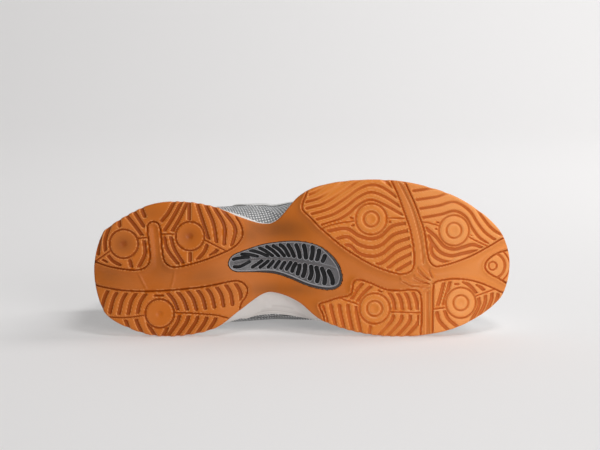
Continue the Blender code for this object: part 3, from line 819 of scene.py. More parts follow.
@dataclass(frozen=True)
class KnitMesh:
    """Grey spacer mesh: a plain knit with staggered pale dots, darkened in its folds as painted shade."""

    name: str = "grey_mesh_knit"
    yarn: tuple = paint(144, 146, 148)
    dot: tuple = paint(248, 248, 248)
    pitch: float = 2.7
    radius: float = 0.72
    knit: float = 0.7
    bias: float = 28.0
    turned: tuple = paint(112, 114, 118)
    dust: tuple = paint(128, 126, 124)
    # Colour painted into the folds as shade
    fold: tuple = paint(74, 74, 77)
    turned_share: float = 0.35
    dust_share: float = 0.2
    fold_shade_share: float = 0.75
    dot_depth: float = 0.8
    scales: tuple[float, float] = (1800.0, 60.0)
    rough: tuple[float, float] = (0.72, 0.9)
    bump: float = 0.0003

    def material(self) -> Material:
        """Builds the material."""
        made, book, shader = new_material(
            self.name, Specular_IOR_Level=0.25, Sheen_Weight=0.25, Sheen_Roughness=0.5
        )
        given = {"Vector": book.sheet(), "Rotation": (0.0, 0.0, radians(self.bias))}
        sheet = book.add("ShaderNodeMapping", given).outputs[0]
        given = {"Sheet": sheet, "Pitch": self.pitch, "Radius": self.radius}
        dots = book.group(EFFECTS.dots, given).outputs[0]
        weave = book.group(EFFECTS.weave, {"Sheet": sheet, "Pitch": self.knit})
        grain, mottling = grained(book, self.scales)
        thread = book.tint(weave.outputs["Turn"], self.turned_share, self.yarn, self.turned)
        thread = book.tint(mottling, self.dust_share, thread, self.dust)
        colour = book.mix(dots, thread, self.dot)
        # Folds are painted darker as shade
        colour = book.tint(book.attribute("relief"), self.fold_shade_share, colour, self.fold)
        height = book.math("SUBTRACT", weave.outputs["Height"], book.math("MULTIPLY", dots, self.dot_depth))
        roughness = book.band(grain, *NOISE_SPAN, *self.rough)
        dress(book, shader, colour, roughness, height, self.bump)
        return made


@dataclass(frozen=True)
class WovenCloth:
    """Plain woven cloth of linings, laces and covers."""

    name: str
    thread: tuple
    shade: tuple
    pitch: float
    depth: float = 0.0002
    turned_share: float = 0.5
    dust_share: float = 0.25
    scales: tuple[float, float] = (1600.0, 70.0)
    rough: tuple[float, float] = (0.75, 0.92)

    def material(self) -> Material:
        """Builds the material."""
        made, book, shader = new_material(
            self.name, Specular_IOR_Level=0.2, Sheen_Weight=0.2, Sheen_Roughness=0.5
        )
        weave = book.group(EFFECTS.weave, {"Sheet": book.sheet(), "Pitch": self.pitch})
        grain, mottling = grained(book, self.scales)
        colour = book.tint(weave.outputs["Turn"], self.turned_share, self.thread, self.shade)
        colour = book.tint(mottling, self.dust_share, colour, self.shade)
        roughness = book.band(grain, *NOISE_SPAN, *self.rough)
        dress(book, shader, colour, roughness, weave.outputs["Height"], self.depth)
        return made


@dataclass(frozen=True)
class CoatedLeather:
    """White coated leather: fine grain, soft scuffs, and a grey cut edge."""

    skin: tuple = paint(226, 226, 225)
    scuff: tuple = paint(186, 184, 181)
    edge: tuple = paint(204, 203, 201)
    scuff_share: float = 0.3
    cell_scale: float = 1100.0
    cell_edge: float = 0.25
    scales: tuple[float, float] = (1200.0, 55.0)
    rough: tuple[float, float] = (0.42, 0.58)
    bump: float = 0.00007

    def material(self) -> Material:
        """Builds the material."""
        made, book, shader = new_material("overlay_white_leather", Specular_IOR_Level=0.45)
        grain, mottling = grained(book, self.scales)
        given = {"Vector": book.place(), "Scale": self.cell_scale}
        cells = book.add("ShaderNodeTexVoronoi", given, feature="DISTANCE_TO_EDGE")
        colour = book.tint(mottling, self.scuff_share, self.skin, self.scuff)
        colour = book.mix(book.attribute("relief"), colour, self.edge)
        height = book.math("ADD", book.band(cells.outputs[0], 0.0, self.cell_edge), grain)
        roughness = book.band(mottling, 0.0, 1.0, *self.rough)
        dress(book, shader, colour, roughness, height, self.bump)
        return made


@dataclass(frozen=True)
class PaleStudio:
    """Matt pale sheet of the floor and backdrop, with a faint glow of its own and the faintest mottling."""

    paper: tuple = paint(206, 205, 205)
    shade: tuple = paint(200, 200, 201)
    glow: tuple = paint(255, 253, 252)
    strength: float = 0.25
    shade_share: float = 0.05
    scales: tuple[float, float] = (400.0, 3.0)
    rough: tuple[float, float] = (0.9, 0.96)
    bump: float = 0.00002

    def material(self) -> Material:
        """Builds the material."""
        made, book, shader = new_material(
            "studio_paper", Specular_IOR_Level=0.1, Emission_Color=self.glow, Emission_Strength=self.strength
        )
        height, mottling = grained(book, self.scales)
        colour = book.tint(mottling, self.shade_share, self.paper, self.shade)
        roughness = book.band(mottling, 0.0, 1.0, *self.rough)
        dress(book, shader, colour, roughness, height, self.bump)
        return made


@dataclass(frozen=True)
class Bars:
    """A family of moulded grooves that pass from the first curve to the last in equal steps."""

    first: Curve
    last: Curve = ()
    count: int = 1
    half: float = 1.3
    flank: float = 0.65

    def curves(self) -> list[Array]:
        """The grooves' lines: each control point moves straight from the first curve to the last."""
        first = np.array(self.first, float)
        last = np.array(self.last or self.first, float)
        shares = np.linspace(0, 1, self.count) if self.count > 1 else (0.0,)
        return [smooth_path(first + (last - first) * share, LINE_STEPS) for share in shares]


@dataclass(frozen=True)
class Boss:
    """A round boss in a pad: ring grooves, a dished disc with a dimple, and the radius kept clear of bars."""

    centre: Point
    rings: tuple[tuple[float, float, float], ...]
    clear: float
    dish: float = 0.9


@dataclass(frozen=True)
class Pad:
    """A raised tread pad: its border, bosses, spines that part its bars, and the bars."""

    border: Curve
    bosses: tuple[Boss, ...] = ()
    spines: tuple[Curve, ...] = ()
    bars: tuple[Bars, ...] = ()


# Ring grooves of the bosses: radius, half width and soft flank
HEEL_RINGS = ((10.2, 0.75, 0.4),)
BALL_RINGS = ((5.3, 0.9, 1.0), (11.0, 0.8, 0.7))
TOE_RINGS = ((5.4, 0.8, 1.0), (10.8, 0.8, 0.7))

HEEL_LATERAL = Pad(
    border=(
        (-3, -6.3), (2, -4), (10, -1.3), (18, 0.3), (25, 1.2), (30, 1.5), (35, 0.5), (38.5, -2), (40, -6),
        (40, -12), (39, -20), (38.3, -28), (39, -31), (41, -32.7), (43.5, -32.8), (46, -31.5),
        (47.3, -28.5), (48, -22), (48.5, -15), (49.5, -8), (51, -4), (54, -1.5), (58, -0.7), (65, -1.8),
        (75, -4.5), (85, -8), (94, -11.8), (98, -13.8), (101, -16), (104, -19.5), (105.5, -23),
        (105.3, -28), (103.5, -32.5), (101.5, -35.5), (98, -42), (88, -54), (60, -60), (20, -52), (-8, -32),
    ),
    bosses=(Boss((21.5, -17.2), HEEL_RINGS, 10.9), Boss((68.5, -22.7), HEEL_RINGS, 10.9)),
    spines=(
        ((31.6, -21.2), (38.6, -21.6)), ((12, -12.3), (3, -6), (-2, -3)), ((48, -24.2), (58.5, -24.2)),
        ((78.3, -20.3), (95.5, -11.5)),
    ),
    bars=(
        Bars(((21, -40), (28, -32), (34.8, -22.8)), ((33, -46), (35, -40), (36.4, -36.8)), 3),
        Bars(((12.5, -32), (8.3, -20.5), (8.4, -12.3)), ((5, -24), (3.7, -16), (3, -10)), 2),
        Bars(((18, -38), (18.4, -33), (18.5, -30))),
        Bars(((36, -19), (36.6, -10), (32.4, -1))),
        Bars(((26, -5), (26.5, -3), (27.2, 0))),
        Bars(((10.3, -9), (13.8, -5), (18.6, -2.2))),
        Bars(((5.8, -6.2), (7.6, -5.2), (9.4, -4.3)), half=0.8),
        Bars(((57.5, -47.5), (53, -39), (48.6, -33.6))),
        Bars(((63, -48), (56.5, -36), (50.3, -26.3)), ((67, -48), (61.5, -36), (56, -26.5)), 2),
        Bars(((68, -49), (68, -42), (68, -34.6))),
        Bars(((72.8, -48), (77.3, -34), (81.8, -20.3)), ((91, -42), (100.3, -28.8), (98.2, -15.6)), 4),
        Bars(((50.4, -22), (52.5, -13), (60, -3)), ((55, -22), (57.5, -13.5), (64, -3)), 2),
        Bars(((68.7, -10.3), (68.7, -7), (68.7, -4))),
        Bars(((80.6, -16.4), (78.6, -11.5), (74, -6)), ((88, -13.4), (86.2, -11.2), (83, -8.7)), 2),
    ),
)
HEEL_MEDIAL = Pad(
    border=(
        (-3, 11.8), (3.5, 13), (10, 14.2), (20, 15.8), (30, 16.4), (40, 16.5), (50, 16), (60, 15.3),
        (70, 14.2), (80, 13), (90, 11), (97, 9.5), (102, 9.1), (105, 10), (107, 11.5), (109, 14.5),
        (109, 17.5), (107.5, 21.5), (104.5, 26), (97, 45), (60, 60), (20, 56), (-8, 32),
    ),
    bosses=(Boss((47, 32.2), HEEL_RINGS, 10.9, 0.25),),
    spines=(
        ((8, 34), (14.5, 35), (25, 35), (36.6, 33.4)),
        ((57.4, 31.5), (70, 32), (80, 32.7), (88, 33.5), (97, 36)),
    ),
    bars=(
        Bars(((10.5, 15.5), (7.5, 22), (5.2, 31)), ((38, 17), (33.2, 24.5), (31, 34)), 5),
        Bars(((43.5, 19.6), (46.6, 19.5), (49.7, 19.6)), half=0.75),
        Bars(((52.4, 17), (57.3, 23.5), (60.3, 31)), ((100.5, 10.5), (104, 17), (105, 25)), 8),
        Bars(((22.5, 36), (24, 40), (26.5, 47)), ((38, 36), (40, 42), (46, 51)), 3),
        Bars(((61.3, 33), (59, 39.5), (51.5, 50)), ((87, 35), (85.5, 38.5), (79, 48)), 5),
        Bars(((52.3, 42.6), (51, 45.5), (48, 50))),
    ),
)
BALL_LATERAL = Pad(
    border=(
        (151, -52.5), (149, -48), (148, -44), (148.5, -41.5), (150, -39.7), (155, -35), (160, -29.5),
        (165, -25.2), (170, -20.8), (175, -16.7), (180, -13), (185, -9.8), (190, -6.7), (195, -4),
        (200, -1.5), (205, 0.5), (210, 2.2), (215, 3.5), (219, 4), (223, 3.2), (226, 1.2), (227.3, -2),
        (227.5, -8), (227, -15), (225.8, -22), (224, -30), (221.5, -37), (219, -44), (216, -52),
        (213, -58.5), (209, -66), (204, -74), (180, -74), (155, -64),
    ),
    bosses=(Boss((197, -35), BALL_RINGS, 12.0, 0.15),),
    spines=(((208, -35.8), (222.3, -35.5)), ((184.8, -33.5), (174, -32), (165, -29.5), (161, -27))),
    bars=(
        Bars(
            ((162, -30.7), (173.2, -34.3), (181, -38.9), (187, -44.2), (196, -48.7), (206, -45.3),
             (220, -37.6)),
            ((144, -50.2), (157, -53.8), (174.5, -64.9), (188.2, -73.2), (196.5, -74.9), (203, -76),
             (212, -66.8)),
            6, 1.0, 0.9,
        ),
        Bars(
            ((165, -26), (179, -28.3), (188, -23.3), (196.5, -21), (204, -23), (212, -30), (223, -32.3)),
            ((182, 7.2), (184, 1.2), (188, 8), (197.7, 10.2), (206.5, 8.2), (217, 0.5), (228.5, -6)),
            6,
        ),
        Bars(((182.4, -36), (184.2, -35.4)), half=0.7), Bars(((183.2, -30.3), (184.8, -30.7)), half=0.7),
        Bars(((209.2, -33), (210.8, -33)), half=0.7),
    ),
)
BALL_MEDIAL = Pad(
    border=(
        (163, 33), (161.5, 30), (160.3, 27), (160.5, 25.5), (163, 24.5), (167, 23.3), (172, 21.5),
        (177, 20.3), (180, 19.8), (182.5, 18.5), (183.5, 16), (184, 12), (185, 9.5), (187, 8.3), (190, 8.4),
        (194, 9.5), (198, 11), (202, 12.8), (206, 14.5), (210, 15.5), (215, 15.8), (220, 15.6), (225, 15.2),
        (229, 15.5), (231.5, 17.5), (232.5, 21), (232.8, 28), (232.8, 36), (232.5, 42), (231, 52),
        (225, 60), (190, 60), (168, 46),
    ),
    bosses=(Boss((199.5, 28.5), TOE_RINGS, 11.6, 0.15),),
    spines=(((174, 20.8), (188.8, 25.9)), ((210.5, 30.9), (233, 31.4))),
    bars=(
        Bars(((191, 10.5), (187.3, 15), (183, 22)), ((197.5, 12), (191.5, 17.8), (187, 24)), 2),
        Bars(((202.4, 15.7), (203.4, 16), (204.4, 16.3)), half=0.7),
        Bars(((209.8, 16.8), (212.8, 22.5), (214, 30)), ((226.8, 17), (229, 22.5), (230.3, 30)), 4),
        Bars(((162.5, 26), (163.8, 31.5), (167, 42)), ((186.5, 26.5), (187.5, 35), (191, 51)), 5),
        Bars(((213, 32.2), (211, 38.3), (199, 51)), ((231, 32.5), (229.5, 40), (216, 54)), 4),
        Bars(((196.6, 40.8), (196.2, 44), (195.6, 50))),
    ),
)
TOE_LATERAL = Pad(
    border=(
        (218, -66), (221.5, -60), (224, -54.5), (227, -48), (229.5, -42), (231.5, -36), (233.5, -30.5),
        (235, -25), (236, -18), (237, -11), (238, -6.5), (240, -3.2), (243, -1.5), (247, -1.8), (252, -3),
        (258, -4.8), (264, -7), (270, -9.5), (276, -12.5), (281, -15.3), (285, -17.5), (290, -20.5),
        (297, -24.5), (305, -40), (262, -72),
    ),
    bosses=(Boss((256, -27), TOE_RINGS, 11.5, 0.15),),
    spines=(
        ((232, -33.3), (238, -32.3), (245.6, -30.2)), ((265.6, -22.9), (272, -19.5), (282, -15)),
    ),
    bars=(
        Bars(
            ((232.5, -35.8), (246.5, -38.3), (256.3, -40.8), (264, -37), (269, -28.8), (274.3, -22),
             (283, -15.6)),
            ((227, -55), (241.5, -57), (256.5, -60), (272.5, -49.5), (280, -40.5), (288, -31.5), (299, -25)),
            4, 1.05, 0.9,
        ),
        Bars(
            ((235.5, -28.8), (243, -22.5), (248.7, -15.9), (256, -13.6), (263, -15.2), (270, -16.8),
             (279, -14)),
            ((239.6, -17), (240, -11), (244.3, -6.8), (252, -4.3), (260, -5.6), (270, -7.2), (274, -9.5)),
            3,
        ),
        Bars(((243.7, -32.8), (245.2, -32.3)), half=0.7), Bars(((242.8, -28.2), (244.2, -27.8)), half=0.7),
        Bars(((267.4, -23.7), (268.6, -23)), half=0.7),
    ),
)
TOE_MEDIAL = Pad(
    border=(
        (241, 47), (241, 30), (241.2, 13), (242.5, 10), (246, 8.7), (252, 7.8), (258, 7.5), (264, 7.9),
        (270, 9), (276, 10.8), (281, 12.8), (286, 15), (290, 17), (297, 20.5), (300, 34), (270, 56),
        (243, 58),
    ),
    bosses=(Boss((261, 24.5), TOE_RINGS, 11.6, 0.15),),
    spines=(((240.5, 29), (250.3, 27.8)), ((271, 20.2), (279, 17.3), (288, 14.4))),
    bars=(
        Bars(((249, 9), (247, 17), (244, 28)), ((253.3, 9), (251.2, 17), (248, 27.5)), 2),
        Bars(((256.8, 11.2), (258, 11.3), (259.3, 11.2)), half=0.7),
        Bars(((263, 9.5), (268, 12.8), (272.4, 18.2)), ((272.8, 11.4), (275.6, 13.6), (278.2, 16.4)), 2),
        Bars(((243.7, 30.8), (246.2, 38), (256, 47.5)), ((249.3, 29.8), (252.3, 36.3), (263.5, 45)), 2),
        Bars(((274, 20.8), (273.6, 28), (266, 42)), ((288.6, 16.5), (287.6, 21.5), (284.3, 30)), 4),
    ),
)
TOE_TIP_PAD = Pad(
    border=(
        (303, -16.5), (296, -13), (290, -11.5), (284, -8.5), (280, -5), (278.5, -1.5), (279.5, 1.5),
        (283, 4.5), (288, 7), (293, 10), (303, 15), (309, 0),
    ),
    bosses=(Boss((284.2, -1.6), ((2.9, 0.7, 0.5), (9.0, 1.0, 0.7), (12.6, 0.6, 0.5)), 3.4, 0.2),),
)
PADS = (HEEL_LATERAL, HEEL_MEDIAL, BALL_LATERAL, BALL_MEDIAL, TOE_LATERAL, TOE_MEDIAL, TOE_TIP_PAD)


@dataclass(frozen=True)
class Rib:
    """A raised line in a channel, or a sunk one where its height is negative."""

    path: Curve
    half: float = 0.5
    height: float = 0.6


CHANNEL_RIBS = (
    Rib(((32.5, 4.5), (34.5, 9), (37.2, 14))),
    Rib(((57.5, 2.8), (56.8, 8), (55.4, 13))),
    Rib(((239.4, 1.2), (240.6, 4), (241.8, 6.6)), 0.7, 1.4),
    Rib(((238.2, 1.8), (239.2, 4.4), (240.2, 7)), 0.6, -0.5),
    Rib(((231.3, -0.6), (235.6, 4), (240.2, 7.8)), 0.9, 2.1),
    Rib(((230.6, 2.2), (234.4, 5.6), (239, 8.6)), 0.7, -0.6),
    Rib(((228.4, 4.8), (233, 7.6), (239, 9.6)), 0.9, 2.1),
    Rib(((227.6, 6.8), (232.4, 9.4), (238.4, 10.9)), 0.7, -0.6),
    Rib(((218.4, 7.4), (226.2, 10.9), (238, 12)), 0.8, 1.6),
    Rib(((219.6, 9.6), (225.6, 12.4), (231, 12.8)), 0.7, -0.5),
    Rib(((232.2, 13.3), (235, 13.6), (238, 13.8)), 0.6, -0.5),
    Rib(((235.2, 16.4), (236.8, 15.4), (238.4, 14.8)), 0.6, 0.9),
    Rib(((237.2, 17), (237.2, 30), (236.9, 47)), 1.0, -0.7),
    Rib(((217.2, -61), (226.4, -42), (232.3, -20), (234.2, -4)), 1.0, -0.7),
)

# Ladder of low ribs on the floor of the heel's slot: stations, first and last row, and rows
LADDER = (41.2, 45.6, -29.0, -8.0, 14)

# Patches of painted shade and soil, darkest in the waist's hollows: middle, reach along and across, and
# strength
SHADE_AND_GRIME = (
    (134, -28, 21, 8, 1.0), (134, 15.5, 24, 5, 0.6), (21.5, -17.2, 8.5, 8.5, 0.45),
    (68.5, -22.7, 8.5, 8.5, 0.4), (45, -1, 13, 9, 0.5), (43, -39, 10, 6, 0.4), (112, -24, 14, 7, 0.4),
    (14, 6, 18, 8, 0.35), (76, 5, 18, 7, 0.3), (172, -14, 12, 8, 0.2),
)


@dataclass
class SoleOutline:
    """Outline of the outsole as rows across it: the same station on its lateral and its medial edge."""

    samples: int = 40

    def rows(self, count: int) -> list[Array]:
        """Lateral and medial edge points of so many rows, the heel's and the toe's tips included."""
        return even_rows(*halves(self.loop(self.samples)), count)

    def loop(self, per_span: int) -> Array:
        """Closed outline with the given number of points per span."""
        return smooth_path(around(HEEL_TIP, SOLE_SECTIONS, TOE_TIP), per_span, closed=True)


@dataclass(frozen=True)
class Relief:
    """The tread at plan points: depth below the pads' tops, and shares of bar, painted groove shade, painted
    edge highlight and channel.
    """

    depth: Array
    bars: Array
    cut: Array
    crest: Array
    hollow: Array


@dataclass
class Tread:
    """Moulded relief of the tread, in millimetres below the pads' tops."""

    channel_edge: float = 0.7
    channel_middle: float = 1.7
    channel_run: float = 6.0
    lip_away: float = 1.55
    lip_half: float = 0.6
    lip_height: float = 0.45
    border_half: float = 0.62
    border_depth: float = 2.0
    spine_half: float = 0.6
    spine_depth: float = 1.5
    bar_depth: float = 1.9
    bar_margin: float = 1.65
    ring_depth: float = 1.6
    dimple: float = 0.5
    dimple_reach: float = 2.0
    ladder_height: float = 0.22
    ladder_half: float = 0.3
    # Share of painted shade in the channels' sunk lines
    sunk_line_shade: float = 0.5
    line_soft: float = 0.5
    bar_soft: float = 0.4

    # Distances up to which borders, channel ribs, ladder rows, spines and bars are felt
    BORDER_REACH = 14.0
    RIB_REACH = 4.0
    LADDER_REACH = 2.0
    SPINE_REACH = 8.0
    BAR_REACH = 3.0

    # Shares of the cut between which a groove's edge is painted pale as a highlight
    HIGHLIGHT_EDGE = (0.0, 0.06, 0.2, 0.42)

    # Distances outside a pad over which the channel and its ribs set in
    CHANNEL_START = (-0.3, 0.5)
    RIB_START = (0.6, 1.6)

    # Places where the bars are worn down: middle, reach along and across, and share
    WORN = ((169, -57, 15, 8, 0.8), (186, -64, 12, 5, 0.6), (262, -52, 18, 6, 0.4), (206, 44, 16, 5, 0.35))

    def at(self, plan: Array) -> Relief:
        """Relief at plan points.

        Pads are at 0. A channel falls away from a pad's border to its middle with an ease, with a lip beside
        the border. Borders, spines, rings and bars are grooves around their lines, and the deepest wins. Bars
        stop short of borders, spines and bosses. Ribs and the slot's ladder rise from the channels.

        Args:
            plan: Plan points.

        Returns:
            The relief.
        """
        outside = np.full(len(plan), np.inf)
        cut, lines, bars = np.zeros((3, len(plan)))
        for pad in PADS:
            border = smooth_path(pad.border, BORDER_STEPS, closed=True)
            inside = inside_loop(plan, border)
            away, _ = nearest_on_path(plan, np.concatenate([border, border[:1]]), self.BORDER_REACH)
            outside = np.minimum(outside, np.where(inside, -away, away))
            index = np.flatnonzero(inside)
            if len(index):
                pad_cuts = self._pad_cuts(pad, plan[index], away[index])
                for whole, here in zip((cut, lines, bars), pad_cuts):
                    whole[index] = np.maximum(whole[index], here)
        hollow = ease(*self.CHANNEL_START, outside)
        border_cut = self.border_depth * groove(np.abs(outside), self.border_half)
        floor, sunk = self._channel(plan, outside)
        depth = np.maximum.reduce([floor * hollow, border_cut, cut])
        # The cut share is where grooves, borders and sunk lines are painted darker as shade
        edges = np.maximum(border_cut / self.border_depth, sunk * hollow)
        cut_share, line_share = (np.clip(np.maximum(edges, k / self.bar_depth), 0, 1) for k in (cut, lines))
        # The crest share is a highlight painted along the grooves' edges, taken out where the bars are worn
        # down
        none, full, fading, gone = self.HIGHLIGHT_EDGE
        crest = ease(none, full, line_share) * (1 - ease(fading, gone, line_share))
        crest *= 1 - bell_spots(plan, self.WORN)
        return Relief(depth, bars, cut_share, crest, hollow)

    def _channel(self, plan: Array, outside: Array) -> tuple[Array, Array]:
        """Channels between the pads.

        Args:
            plan: Plan points.
            outside: Their distances to the nearest pad.

        Returns:
            Depth from that distance less the lip, the ribs and the ladder, and the share of sunk lines
            painted darker as shade.
        """
        fall = ease(0, self.channel_run, outside)
        floor = self.channel_edge + (self.channel_middle - self.channel_edge) * fall
        floor -= self.lip_height * groove(np.abs(outside - self.lip_away), self.lip_half, self.line_soft)
        clear = ease(*self.RIB_START, outside)
        sunk = np.zeros(len(plan))
        for rib in CHANNEL_RIBS:
            away, _ = nearest_on_path(plan, smooth_path(rib.path, LINE_STEPS), self.RIB_REACH)
            line = groove(away, rib.half, self.line_soft) * clear
            floor -= rib.height * line
            if rib.height < 0:
                sunk = np.maximum(sunk, self.sunk_line_shade * line)
        left, right, first, last, rows = LADDER
        for row in np.linspace(first, last, rows):
            away, _ = nearest_on_path(plan, np.array(((left, row), (right, row))), self.LADDER_REACH)
            floor -= self.ladder_height * groove(away, self.ladder_half, self.ladder_half)
        return floor, sunk

    def _pad_cuts(self, pad: Pad, plan: Array, border_away: Array) -> tuple[Array, Array, Array]:
        """Grooves inside one pad.

        Args:
            pad: The pad.
            plan: Plan points inside it.
            border_away: Their distances to its border.

        Returns:
            Depth of all cuts, depth of the grooves without the dished discs, and the share of the bars' cut.
        """
        keep = border_away.copy()
        lines, dished = np.zeros((2, len(plan)))
        for boss in pad.bosses:
            radius = np.linalg.norm(plan - np.array(boss.centre), axis=1)
            keep = np.minimum(keep, radius - boss.clear + self.bar_margin - self.bar_soft)
            for ring, half, soft in boss.rings:
                lines = np.maximum(lines, self.ring_depth * groove(np.abs(radius - ring), half, soft))
            inner = boss.rings[0][0]
            dish = boss.dish * np.clip(1 - (radius / inner) ** 2, 0, 1)
            dished = np.maximum(dished, dish + self.dimple * groove(radius, self.dimple_reach, 1.0))
        for spine in pad.spines:
            away, _ = nearest_on_path(plan, smooth_path(spine, BORDER_STEPS), self.SPINE_REACH)
            keep = np.minimum(keep, away)
            lines = np.maximum(lines, self.spine_depth * groove(away, self.spine_half))
        bars = np.zeros(len(plan))
        for family in pad.bars:
            for curve in family.curves():
                away, _ = nearest_on_path(plan, curve, self.BAR_REACH)
                bars = np.maximum(bars, groove(away, family.half, family.flank))
        bars *= ease(self.bar_margin - self.bar_soft, self.bar_margin + self.bar_soft, keep)
        bars *= 1 - bell_spots(plan, self.WORN)
        lines = np.maximum(lines, self.bar_depth * bars)
        return np.maximum(lines, dished), lines, bars


@dataclass
class Outsole:
    """Gum outsole: a sheet of rows across the outline that carries the tread, with an edge and a wall."""

    placement: Placement
    tread: Tread = field(default_factory=Tread)
    rows: int = 560
    columns: int = 162
    edge_round: float = 1.6
    edge_blend: float = 0.4
    edge_fade: float = 0.5
    edge_near: float = 5.0
    lateral_notch: tuple = (0.35, 288.0)
    medial_notch: tuple = (-0.32, 228.0)
    notch_fade: float = 6.0
    bar_look: float = 0.8
    top: float = 5.0
    top_inset: float = 0.4
    wall_middle: float = 0.45
    wall_bulge: float = 0.12
    wall_shade: float = 0.6
    recess: float = 4.6
    snap: float = 0.42
    window_reach: float = 6.0
    edge_reach: float = 9.0
    inside_window: float = -0.14
    outside_window: float = 0.04

    # Stations behind and beyond which every point may be near the outline
    ENDS = (6.0, 290.0)

    def build(self, finish: Material) -> Thing:
        """Builds the outsole.

        Args:
            finish: Its rubber.

        Returns:
            The piece.
        """
        lateral, medial = SoleOutline().rows(self.rows)
        lateral = self._notched(lateral, *self.lateral_notch)
        medial = self._notched(medial, *self.medial_notch)
        flat, window = self._snapped(filled(lateral, medial, self.columns).reshape(-1, 2))
        relief = self.tread.at(flat)
        rounding = self._edge_rounding(flat, lateral, medial)
        height = np.maximum(relief.depth, rounding) + self.edge_blend * np.minimum(relief.depth, rounding)
        height = np.where(window < 0, self.recess, height)
        # The cut value is the share of painted groove shade: faded on the rounded edge, full in the window
        kept = 1 - self.edge_fade * np.clip(rounding / self.edge_round, 0, 1)
        cut = np.where(window < 0, 1.0, relief.cut * kept)
        # crest carries the painted highlight, none in the window
        crest = np.where(window < 0, 0.0, relief.crest)
        shape = (self.rows, self.columns)
        points = np.column_stack([flat, height + lift(flat[:, 0])]).reshape(*shape, 3)
        shell = Shell(self.placement, ("cut", "crest", "hollow", "grime"))
        shell.add_grid(
            points, sheet=points[..., :2], cut=cut.reshape(shape), crest=crest.reshape(shape),
            hollow=relief.hollow.reshape(shape), grime=bell_spots(flat, SHADE_AND_GRIME).reshape(shape),
        )
        self._wall(shell, points)
        return settle(shell.build("outsole_tread", [finish], crease=60), Slot.GUM, "outsole")

    def _notched(self, edge: Array, notch: float, stop: float) -> Array:
        """Scalloped edge: drawn in towards +y by the notch where bars run out over it, up to the stop."""
        bars = self.tread.at(edge + np.array((0.0, self.bar_look * np.sign(notch)))).bars
        drawn = edge.copy()
        fade = ease(0, self.notch_fade, edge[:, 0]) * (1 - ease(stop, stop + self.notch_fade, edge[:, 0]))
        drawn[:, 1] += notch * bars * fade
        return drawn

    def _snapped(self, plan: Array) -> tuple[Array, Array]:
        """Plan points with those near the window's edge moved to just inside or just outside it.

        Args:
            plan: Plan points.

        Returns:
            The points, and their distance to the window's edge, negative inside.
        """
        lateral, medial = (smooth_path(k, LINE_STEPS) for k in (LEAF_LATERAL, LEAF_MEDIAL))
        loop = np.concatenate([lateral, medial[::-1][1:]])
        away, foot = nearest_on_path(plan, loop, self.window_reach)
        inside = inside_loop(plan, loop)
        signed = np.where(inside, -away, away)
        close = (away < self.snap) & (away > 1e-6)
        goal = np.where(inside, self.inside_window, self.outside_window)
        direction = (plan - foot) / np.maximum(away, 1e-6)[:, None] * np.where(inside, -1, 1)[:, None]
        moved = np.where(close[:, None], foot + direction * goal[:, None], plan)
        return moved, np.where(close, goal, signed)

    def _edge_rounding(self, flat: Array, lateral: Array, medial: Array) -> Array:
        """Height of the rounded tread edge: a quarter circle over the distance to the outline."""
        loop = np.concatenate([lateral, medial[::-1]])
        width = np.repeat(medial[:, 1] - lateral[:, 1], self.columns)
        across = np.linspace(0, 1, self.columns)
        share = np.tile(np.minimum(across, across[::-1]), self.rows)
        behind, beyond = self.ENDS
        near = (share * width < self.edge_near) | (flat[:, 0] < behind) | (flat[:, 0] > beyond)
        away = np.full(len(flat), self.edge_reach)
        away[near], _ = nearest_on_path(flat[near], loop, self.edge_reach)
        inset = np.clip(self.edge_round - away, 0, None)
        return self.edge_round - np.sqrt(np.clip(self.edge_round**2 - inset**2, 0, None))

    def _wall(self, shell: Shell, points: Array) -> None:
        """Adds the side wall from the tread's edge to the top and the back face as rows across."""
        edge = sheet_edge(points)
        out = outward(edge)
        top = edge.copy()
        top[:, 2] = self.top + lift(edge[:, 0])
        middle = edge * (1 - self.wall_middle) + top * self.wall_middle + out * self.wall_bulge
        top = top - out * self.top_inset
        # The side wall takes part of the channels' painted shade
        tint = np.full((3, len(edge)), self.wall_shade)
        shell.add_grid(np.stack([edge, middle, top]), wrap=True, hollow=tint)
        shell.add_grid(filled(*halves(top), 3)[:, ::-1], hollow=np.ones((self.rows, 3)))


# Slots of the shank's leaf, each from its outer end to the spine
LATERAL_SLOTS = (
    ((98.4, -5.9), (104.4, -7.2), (110.6, -7.3)), ((104.2, -9.9), (110.8, -9.4), (116.9, -7.9)),
    ((110.3, -12.8), (118, -10.7), (124, -7.9)), ((117, -14.6), (122.3, -11.8), (127.6, -8)),
    ((122, -15.5), (126.9, -12.5), (131.9, -7.9)), ((126.7, -16.2), (131.6, -12.9), (135.9, -7.9)),
    ((131.7, -16.9), (135.3, -14.2), (139.1, -7.9)), ((137.6, -17.2), (140.5, -12.5), (142.7, -7.5)),
    ((143.5, -17.2), (145.5, -12.2), (146.6, -6.8)), ((149.1, -17), (150.3, -12.2), (150.9, -6.3)),
    ((155.5, -15.9), (155.6, -11.4), (154.4, -5.7)), ((160.2, -13.6), (159.8, -9.7), (158.4, -5.2)),
    ((164.5, -9.7), (163.7, -7.2), (162.3, -4.1)),
)
